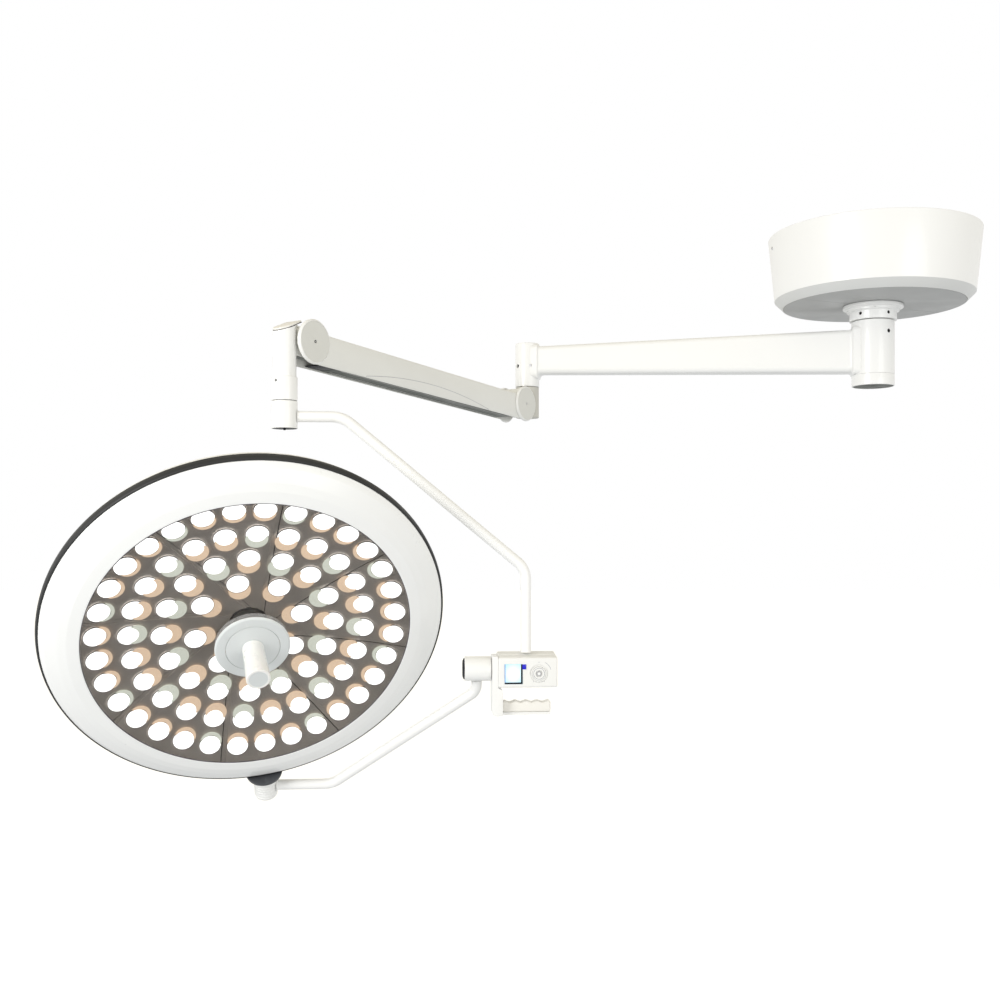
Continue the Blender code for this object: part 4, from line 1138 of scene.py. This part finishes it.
def control_box():
    face = BOX_Y[0]
    front = box_half("box_front", face, BOX_SPLIT - 0.0004)
    back = box_half("box_back", BOX_SPLIT, BOX_Y[1])
    (x0, x1), (z0, z1) = SCREEN_X, SCREEN_Z
    window = raw(block((x0 - GAP, face - 0.01, z0 - GAP), (x1 + GAP, face + 0.01, z1 + GAP)), YOKE)
    centre = YOKE @ Matrix.Translation((PAD[0], 0, PAD[1])) @ ACROSS
    tools = [window, raw(rod(0.0049, -0.02, 0.05, 48, 0), centre)]
    keys = (("key_right", 0), ("key_up", 90), ("key_left", 180), ("key_down", 270))
    for _, middle in keys:
        tools.append(raw(prism(key_sector(middle, 0.0004), face - 0.01, face + 0.015), YOKE))
    groove = turned([(0.0152, 0.0290), (0.0164, 0.0290), (0.0164, 0.0310), (0.0152, 0.0310)], 96)
    groove_tool = raw(groove, centre)
    groove_tool.data.transform(Matrix.Translation(YOKE.to_3x3() @ Vector((0, 0.0007, 0))))
    tools.append(groove_tool)
    cut(front, *tools)
    fine("box_front", front, box_plastic, UPPER)
    fine("box_back", back, box_plastic, UPPER)
    pane = softened(raw(block((x0, face - 0.0004, z0), (x1, face + 0.0045, z1)), YOKE), 0.0004)
    fine("display_screen", pane, screen_glow, UPPER)
    edging_front, edging_back = face - 0.0010, face - 0.0001
    edge, thick = 0.0010, 0.0030
    # Black strips along the screen's right and bottom edges: painted shade along those two edges.
    shade_strips = [
        (block((x1 - thick, edging_front, z0), (x1, edging_back, z1)), WORLD),
        (block((x0, edging_front, z0), (x1 - thick, edging_back, z0 + thick)), WORLD),
    ]
    piece("screen_edge_painted_shade", softened(raw(merged(shade_strips), YOKE), 0.0003), black_plastic, UPPER)
    slim = softened(raw(block((x0, edging_front, z0 + thick), (x0 + edge, edging_back, z1)), YOKE), 0.0002)
    piece("screen_edge_strip", slim, blue_strip, UPPER)
    tab_low, tab_high = (x1 - 0.0004, face - 0.0013, z1 - 0.0092), (x1 + 0.0066, face - 0.0001, z1 - 0.0002)
    tab = softened(raw(block(tab_low, tab_high), YOKE), 0.0004)
    piece("film_tab", tab, blue_film, UPPER)
    button = [
        (0, 0.0250), (0.0045, 0.0250), (0.0045, 0.0310, 0.0006), (0.0026, 0.0312), (0.0023, 0.0309, 0.0002),
        (0, 0.0311),
    ]
    shown = fine(
        "power_button", turned(button, 64), groove_grey, "power_button", centre,
    )
    second_material(shown, handle_plastic, centre, lambda spot, _: hypot(spot.x, spot.y) < 0.0030)
    for name, middle in keys:
        low, high = face - 0.0010, face + 0.0050
        key = softened(raw(prism(key_sector(middle), low, high), YOKE), 0.00010, 1, 50)
        mark = prism(key_sector(middle, -0.0002, 0.0093, 0.0106), low - 0.00015, low + 0.0004)
        made = fine(name, key, box_plastic, name)
        ring = piece(f"{name}_mark", mark, paint_mark, name, YOKE)
        ring.parent = made.parent
    trim = [(arc_strip(0.0226, 0.0233, 18, 62), WORLD)]
    trim += [(dot_mark(PAD[0] - 0.010 + 0.005 * k, BOX_LOW + 0.0105), WORLD) for k in range(5)]
    dash_low = (PAD[0] - 0.002, face - 0.0001, PAD[1] + 0.0205)
    dash_high = (PAD[0] + 0.002, face + 0.0005, PAD[1] + 0.0211)
    trim.append((block(dash_low, dash_high), WORLD))
    piece("box_printed_marks", merged(trim), paint_mark, UPPER, YOKE)
    low = (BOX_X[0] + 0.005, -0.0205, BOX_LOW + 0.005)
    high = (BOX_X[1] - 0.005, -0.0189, BOX_FRONT_TOP - 0.005)
    board = softened(raw(block(low, high), YOKE), 0.0003)
    fine("control_board", board, board_green, UPPER)


def arc_strip(inner, outer, start, end):
    outline = arc(PAD, outer, start, end, 20) + arc(PAD, inner, end, start, 20)
    return prism(outline, BOX_Y[0] - 0.0001, BOX_Y[0] + 0.0005)


def dot_mark(x, z):
    return prism(arc((x, z), 0.0006, 0, 345, 23), BOX_Y[0] - 0.0001, BOX_Y[0] + 0.0005)


def handle():
    left, right, foot, low = 0.3757, 0.3863, 0.3950, -0.6833
    grip_end = 0.4840
    shelf = low + 0.0047
    outline = [
        (left, BOX_FRONT_TOP + 0.002, 0.002), (left, low, 0.006), (grip_end, low, 0.0015),
        (grip_end, shelf, 0.0015), (foot, shelf, 0.0005), (foot, BOX_LOW - 0.006, 0.0020),
        (right, BOX_LOW - 0.001, 0.0020), (right, BOX_FRONT_TOP + 0.002, 0.002),
    ]
    plate = raw(prism([tuple(p) for p in rounded(outline, True)], -0.0285, 0.020), YOKE)
    rooms = [
        raw(block((foot, y0, low - 0.01), (grip_end + 0.01, y1, low + 0.01)), YOKE)
        for y0, y1 in ((-0.05, -0.0125), (0.0125, 0.05))
    ]
    plate = softened(cut(plate, *rooms), 0.0010, 3, 50)
    fine("handle_bracket", plate, enamel, UPPER)
    x0, x1, z0, z1 = 0.3955, 0.4840, -0.6783, -0.6583
    waves, points, depth = 4, 96, 0.0014
    top = []
    for i in range(points + 1):
        share = i / points
        z = z1 - depth + depth * cos(2 * pi * waves * share)
        top.append((x1 - 0.004 + (x0 - x1 + 0.008) * share, z))
    corners = arc((x1 - 0.004, z0 + 0.004), 0.004, -90, 0, 6)
    corners += arc((x1 - 0.004, z1 - 0.004), 0.004, 0, 84, 6)
    corners_left = arc((x0 + 0.004, z1 - 0.004), 0.004, 96, 180, 6)
    corners_left += arc((x0 + 0.004, z0 + 0.004), 0.004, 180, 270, 6)
    grip = raw(prism(corners + top[1:-1] + corners_left, -0.0125, 0.0125), YOKE)
    grip = softened(grip, 0.0028, 4, 60)
    fine("finger_grip", grip, cream, UPPER, sharp=50)


upper_yoke()
control_box()
handle()

# Lower yoke

LOWER = "lower_yoke"


def lower_yoke():
    left, right, radius = 0.381, 0.4295, 0.0225
    turn = Matrix.Rotation(pi / 2, 4, "Y")
    body = [
        (0.0198, left, 0.0004), (radius, left, 0.0008), (radius, right, 0.0012), (0.0106, right),
        (0.0106, left + 0.0045), (0.0198, left + 0.0045),
    ]
    fine("hinge_barrel", turned(body, 112), enamel, LOWER, TILT @ turn)
    cap = [
        (0, left - 0.0038), (0.0150, left - 0.0034, 0.0040), (0.0194, left - 0.0012, 0.0010),
        (0.0195, left + 0.0042), (0, left + 0.0042),
    ]
    fine("barrel_cap", turned(cap, 80), black_plastic, LOWER, TILT @ turn)
    corners = [(0.4045, -0.0223), (0.4045, -0.0542), (0.129, -0.2895), (0.0222, -0.2895)]
    pipe = swept(route(corners, (0.030, 0.045), 20), TUBE_R, 56, (0.0026, 0.0026))
    fine("lower_yoke_tube", pipe, tube_enamel_painted_light, LOWER, TILT, sharp=50)
    top, low = HEAD_RISE - 0.3600, HEAD_RISE - 0.4065
    outer = 0.0222
    steps = [(0, low), (outer - 0.0006, low, 0.0010)]
    ribs = 5
    pitch = 0.0065
    start = low + 0.0060
    for k in range(ribs):
        z = start + k * pitch
        steps += [
            (outer, z - 0.0024, 0.0006), (outer, z, 0.0005), (outer - 0.0009, z + 0.0006, 0.0003),
            (outer - 0.0009, z + 0.0014, 0.0003), (outer, z + 0.0020, 0.0005),
        ]
    steps += [(outer, top - 0.0010, 0.0010), (outer - 0.0022, top, 0.0008), (0, top)]
    fine("boot_socket", turned(steps, 112), enamel, LOWER, TILT)


lower_yoke()

# Lamp head

LAMP = "lamp_head"
RING_R = 0.3448
RIM = [
    (0.3454, 0.0118), (0.3470, 0.0118, 0.0006), (0.3487, 0.0098, 0.0020), (0.3500, 0.0040, 0.0040),
    (0.3495, -0.0040, 0.0030), (0.3472, -0.0078, 0.0008),
]
SHOULDER = [(0.3440, -0.0180, 0.006), (0.3360, -0.0290, 0.010), (0.3250, -0.0400, 0.012)]


def lamp_shells():
    inner = [(0.3440, -0.0072), (0.3462, -0.0040), (0.3466, 0.0030), (0.3454, 0.0072)]
    fine("rim_band", turned(RIM + inner, HEAD_SIDES), rubber, LAMP, FACE)
    ring = [
        (RING_R - 0.0033, 0.0070), (RING_R, 0.0080), (RING_R, 0.0122, 0.0010), (0.3360, 0.0204, 0.0060),
        (0.3150, 0.0310, 0.0012), (0.3010, 0.0360, 0.0100), (0.2820, 0.0391, 0.0010),
        (0.2808, 0.0388, 0.0003), (0.2808, 0.0380), (0.2995, 0.0330), (0.3150, 0.0270), (0.3340, 0.0170),
    ]
    fine("front_ring", turned(ring, HEAD_SIDES), head_enamel, LAMP, FACE)
    gasket = [(0.2794, 0.0372), (0.2807, 0.0372), (0.2807, 0.0387, 0.0003), (0.2794, 0.0387, 0.0003)]
    piece("plate_gasket", turned(gasket, HEAD_SIDES), gasket_rubber, LAMP, FACE)
    crown = [(0.3000, -0.0520, 0.03), (0.2400, -0.0630, 0.10), (0.1200, -0.0705, 0.2)]
    back = [(0.3466, -0.0084, 0.0006)] + SHOULDER + crown
    inside = [
        (0.1200, -0.0675), (0.2390, -0.0600), (0.2985, -0.0492), (0.3230, -0.0375), (0.3335, -0.0270),
        (0.3412, -0.0170), (0.3434, -0.0084),
    ]
    profile = [(0, -0.0725)] + back[::-1] + inside[::-1] + [(0, -0.0695)]
    housing = raw(turned(profile, HEAD_SIDES), FACE)
    screws, wells = [], []
    for k in range(8):
        bearing = radians(22.5 + 45 * k)
        out = Vector((0.42, 0, -0.9)).normalized()
        spot = FACE @ Matrix.Rotation(bearing, 4, "Z") @ turn_to(out, Vector((0.3115, 0, -0.0472)))
        wells.append(raw(rod(0.0042, -0.0012, 0.004, 36, 0), spot))
        screws.append((socket_screw(0.0036, 0.0012, 0.0017, 0.0006, 0.0004), spot))
    cut(housing, *wells)
    fine("rear_housing", housing, head_enamel, LAMP)
    piece("housing_screws", merged(screws), steel, LAMP)
    plate = [(0.0300, 0.0355), (0.2790, 0.0355, 0.0003), (0.2790, 0.0385, 0.0005), (0.0300, 0.0385)]
    fine("lens_plate", turned(plate, HEAD_SIDES), smoked, LAMP, FACE)


DISH_R = 1.04
DISH_LOW = -0.0127
MODULES = 8
MODULE_TURN = 7.0
LENS_R = 0.0190
RINGS = (  # radius, offsets inside a module in degrees, how far the painted reflection shows, cool ones
    (0.0941, (0.0,), 0.0165, ()),
    (0.1478, (-11.25, 11.25), 0.0148, (11.25,)),
    (0.2022, (-15.0, 0.0, 15.0), 0.0118, (-15.0,)),
    (0.2565, (-16.875, -5.625, 5.625, 16.875), 0.0070, (16.875,)),
)


def dish(radius):
    return DISH_LOW + radius**2 / (2 * DISH_R)


def seam_turn(radius):
    """Bearing of the first seam: the seams are lines that pass the axis at a small distance."""
    return radians(MODULE_TURN + 117.5) - asin(0.025 / radius)


def led_modules():
    rings, across = 30, 22
    parts = []
    for k in range(MODULES):
        upper, lower = [], []
        for i in range(rings + 1):
            radius = 0.035 + (0.2930 - 0.035) * i / rings
            first = seam_turn(radius) + radians(45 * k) + 0.0009 / radius
            last = seam_turn(radius) + radians(45 * (k + 1)) - 0.0009 / radius
            step = 0.0068 / radius
            turns = [first, first + step, first + step + 0.0008 / radius]
            turns += [turns[-1] + (last - turns[-1]) * (j + 1) / across for j in range(across)]
            row, under = [], []
            for j, turn in enumerate(turns):
                sunk = 0.0050 if j < 2 else 0.0036
                z = dish(radius) - sunk
                row.append((radius * cos(turn), radius * sin(turn), z))
                under.append((radius * cos(turn), radius * sin(turn), z - 0.002))
            upper.append(row)
            lower.append(under)
        bm = bmesh.new()
        top = [[bm.verts.new(p) for p in row] for row in upper]
        low = [[bm.verts.new(p) for p in row] for row in lower]
        count = len(top[0])
        for grid in (top, low):
            for a, b in zip(grid, grid[1:]):
                for j in range(count - 1):
                    bm.faces.new([a[j], a[j + 1], b[j + 1], b[j]])
        edge_top, edge_low = (
            grid[0] + [row[-1] for row in grid[1:-1]] + grid[-1][::-1] + [row[0] for row in grid[-2:0:-1]]
            for grid in (top, low)
        )
        for i in range(len(edge_top)):
            j = (i + 1) % len(edge_top)
            bm.faces.new([edge_top[i], edge_top[j], edge_low[j], edge_low[i]])
        parts.append((bm, WORLD))
    piece("led_modules", merged(parts), module_plastic, LAMP, FACE, sharp=20)


def led_lenses():
    white, warm, cool, bezels = [], [], [], []
    for radius, offsets, shift, cool_ones in RINGS:
        for k in range(MODULES):
            for offset in offsets:
                turn = radians(MODULE_TURN + 45 * k + offset)
                out = Vector((cos(turn), sin(turn), 0))
                spot = out * radius + Vector((0, 0, dish(radius)))
                aim = (Vector((0, 0, 1)) - out * radius / DISH_R).normalized()
                seat = turn_to(aim, spot)
                dome = [
                    (0, -0.0010), (LENS_R, -0.0010), (LENS_R, 0.0002), (LENS_R * 0.8, 0.0012),
                    (LENS_R * 0.5, 0.0020), (0, 0.0024),
                ]
                white.append((turned(dome, 40), seat))
                inner, outer = LENS_R + 0.0001, LENS_R + 0.0009
                rim = [(inner, -0.0014), (outer, -0.0014), (outer, 0.0004), (inner, 0.0004)]
                bezels.append((turned(rim, 48), seat))
                # Each lens has a glowing cup behind it, set outwards: a painted reflection that shows as a
                # crescent.
                behind = turn_to(aim, spot - out * shift - aim * 0.0016)
                cup = [
                    (0, -0.0016), (LENS_R, -0.0016), (LENS_R, 0.0001), (LENS_R * 0.92, 0.0004), (0, 0.0001),
                ]
                (cool if offset in cool_ones else warm).append((turned(cup, 40), behind))
    piece("led_lenses", merged(white), lens_white, LAMP, FACE, sharp=40)
    piece("led_painted_reflections_warm", merged(warm), warm_painted_reflection, LAMP, FACE, sharp=40)
    piece("led_painted_reflections_cool", merged(cool), cool_painted_reflection, LAMP, FACE, sharp=40)
    piece("led_bezels", merged(bezels), black_plastic, LAMP, FACE, sharp=40)


def led_pan():
    pan = [
        (0.0300, -0.0200), (0.2690, -0.0200), (0.2960, 0.0100), (0.3120, 0.0150), (0.3120, 0.0175),
        (0.2940, 0.0130), (0.2670, -0.0175), (0.0300, -0.0175),
    ]
    fine("led_carrier", turned(pan, 128), black_plastic, LAMP, FACE)


def centre_hub():
    collar = [(0.0480, 0.0388), (0.0630, 0.0388, 0.0004), (0.0600, 0.0497, 0.0004), (0.0450, 0.0497)]
    fine("hub_collar", turned(collar, 128), collar_clear, LAMP, FACE)
    disc = [
        (0.0466, 0.0500), (0.0625, 0.0500, 0.0012), (0.0645, 0.0520, 0.0012), (0.0645, 0.0535, 0.0020),
        (0.0615, 0.0560, 0.0030), (0.0466, 0.0562, 0.0004),
    ]
    fine("centre_hub", turned(disc, 144), hub_plastic, LAMP, FACE)
    socket = [
        (0, 0.010), (0.024, 0.010), (0.024, 0.050), (0.0460, 0.050), (0.0460, 0.0561, 0.0005),
        (0.0105, 0.0561, 0.0004), (0.0105, 0.120, 0.0010), (0, 0.120),
    ]
    fine("focus_socket", turned(socket, 128), hub_plastic, "focus_socket", FACE)
    bore = 0.0111
    grip = [
        (0, 0.1396), (0.0158, 0.1396, 0.0006), (0.0181, 0.1400, 0.0006), (0.0203, 0.1394, 0.0014),
        (0.0201, 0.1300, 0.01), (0.0184, 0.0700, 0.01), (0.0180, 0.0600, 0.0006), (0.0188, 0.0592, 0.0006),
        (0.0188, 0.0568, 0.0006), (bore, 0.0566, 0.0006), (bore, 0.122), (0, 0.122),
    ]
    made = fine("sterile_handle", turned(grip, 112), handle_plastic, "sterile_handle", FACE)
    second_material(
        made, hub_plastic, FACE,
        lambda spot, _: hypot(spot.x, spot.y) < 0.0168 and spot.z > 0.13,
    )


def boot():
    steps = [
        (0, -0.322), (0.0337, -0.322), (0.0340, -0.3360, 0.002), (0.0345, -0.3385, 0.0012),
        (0.0350, -0.3480, 0.0016), (0.0334, -0.3537, 0.0030), (0.0292, -0.3580, 0.0030),
        (0.0245, -0.3591, 0.0008), (0, -0.3592),
    ]
    body = raw(turned(steps, 112), HEAD)
    outside = [(0, 0.05), (0.3454, 0.05)] + [(r + GAP, z) for r, z, *_ in RIM[1:] + SHOULDER] + [(0, -0.0405)]
    cut(body, raw(turned(outside, HEAD_SIDES), FACE))
    fine("head_boot", body, boot_rubber, LAMP)


lamp_shells()
led_modules()
led_lenses()
led_pan()
centre_hub()
boot()

# Nodes of the CAD that stay as they are

for node in (
    "spindle", "upper_bearing", "lower_bearing", "knuckle_spindle", "knuckle_pin", "bracket_pin",
    "swivel_spindle", "hinge_shaft",
):
    kept = frame["nodes"][node]
    kept.data.materials.clear()
    kept.data.materials.append(steel)

# Camera, floor and light

scene = bpy.context.scene
camera = bpy.data.objects.new("camera", bpy.data.cameras.new("camera"))
camera.data.sensor_width = 36
camera.data.lens = 40.36
camera.data.shift_y = 0.031
camera.data.clip_end = 60
camera.location = (-0.849, -2.552, -0.6735)
camera.rotation_euler = (pi / 2, 0, 0)
scene.collection.objects.link(camera)
scene.camera = camera


def studio():
    ground = bmesh.new()
    bmesh.ops.create_grid(ground, x_segments=8, y_segments=8, size=30)
    mesh = bpy.data.meshes.new("studio_floor")
    ground.to_mesh(mesh)
    ground.free()
    floor = bpy.data.objects.new("studio_floor", mesh)
    floor.location = (0, 0, -2.4)
    scene.collection.objects.link(floor)
    n = Nodes("studio_floor")
    tone = n.mixed(n.ranged(n.noise(0.8), 0, 1), (0.88, 0.88, 0.87), (0.90, 0.90, 0.89))
    n.shows("Base Color", tone)
    n.shader.inputs["Roughness"].default_value = 0.9
    n.shader.inputs["Emission Color"].default_value = (1, 1, 1, 1)
    n.shader.inputs["Emission Strength"].default_value = 0.55
    mesh.materials.append(n.made)
    floor.visible_diffuse = False
    floor.visible_glossy = False

    world = bpy.data.worlds.new("studio")
    world.use_nodes = True
    scene.world = world
    tree = world.node_tree
    tree.nodes.clear()
    out = tree.nodes.new("ShaderNodeOutputWorld")
    seen = tree.nodes.new("ShaderNodeBackground")
    seen.inputs["Color"].default_value = (1, 1, 1, 1)
    seen.inputs["Strength"].default_value = 1.0
    light = tree.nodes.new("ShaderNodeBackground")
    light.inputs["Strength"].default_value = 1.14
    coords = tree.nodes.new("ShaderNodeTexCoord")
    parts = tree.nodes.new("ShaderNodeSeparateXYZ")
    ramp = tree.nodes.new("ShaderNodeValToRGB")
    stretch = tree.nodes.new("ShaderNodeMapRange")
    stretch.inputs["From Min"].default_value = -1.0
    stops = (
        (0.0, (0.50, 0.51, 0.51)), (0.42, (0.72, 0.725, 0.72)), (0.55, (0.90, 0.90, 0.89)),
        (0.75, (0.68, 0.64, 0.54)), (1.0, (0.38, 0.35, 0.27)),
    )
    while len(ramp.color_ramp.elements) < len(stops):
        ramp.color_ramp.elements.new(0.5)
    for element, (place, colour) in zip(ramp.color_ramp.elements, stops):
        element.position = place
        element.color = (*colour, 1)
    path = tree.nodes.new("ShaderNodeLightPath")
    mix = tree.nodes.new("ShaderNodeMixShader")
    link = tree.links.new
    link(coords.outputs["Generated"], parts.inputs["Vector"])
    link(parts.outputs["Z"], stretch.inputs["Value"])
    link(stretch.outputs["Result"], ramp.inputs["Fac"])
    link(ramp.outputs["Color"], light.inputs["Color"])
    link(path.outputs["Is Camera Ray"], mix.inputs["Fac"])
    link(light.outputs["Background"], mix.inputs[1])
    link(seen.outputs["Background"], mix.inputs[2])
    link(mix.outputs["Shader"], out.inputs["Surface"])

    def lamp(name, place, aim, size, power, colour=(1, 1, 1)):
        data = bpy.data.lights.new(name, "AREA")
        data.shape = "DISK"
        data.size = size
        data.energy = power
        data.color = colour
        obj = bpy.data.objects.new(name, data)
        obj.location = place
        obj.rotation_euler = (Vector(aim) - Vector(place)).to_track_quat("-Z", "Y").to_euler()
        scene.collection.objects.link(obj)

    lamp("key", (-3.2, -2.9, 0.1), (-1.0, -0.3, -0.5), 1.6, 55)
    lamp("fill", (1.6, -3.4, -0.4), (-0.6, 0.0, -0.5), 2.0, 22)


studio()
scene.view_settings.view_transform = "Standard"
scene.view_settings.look = "None"
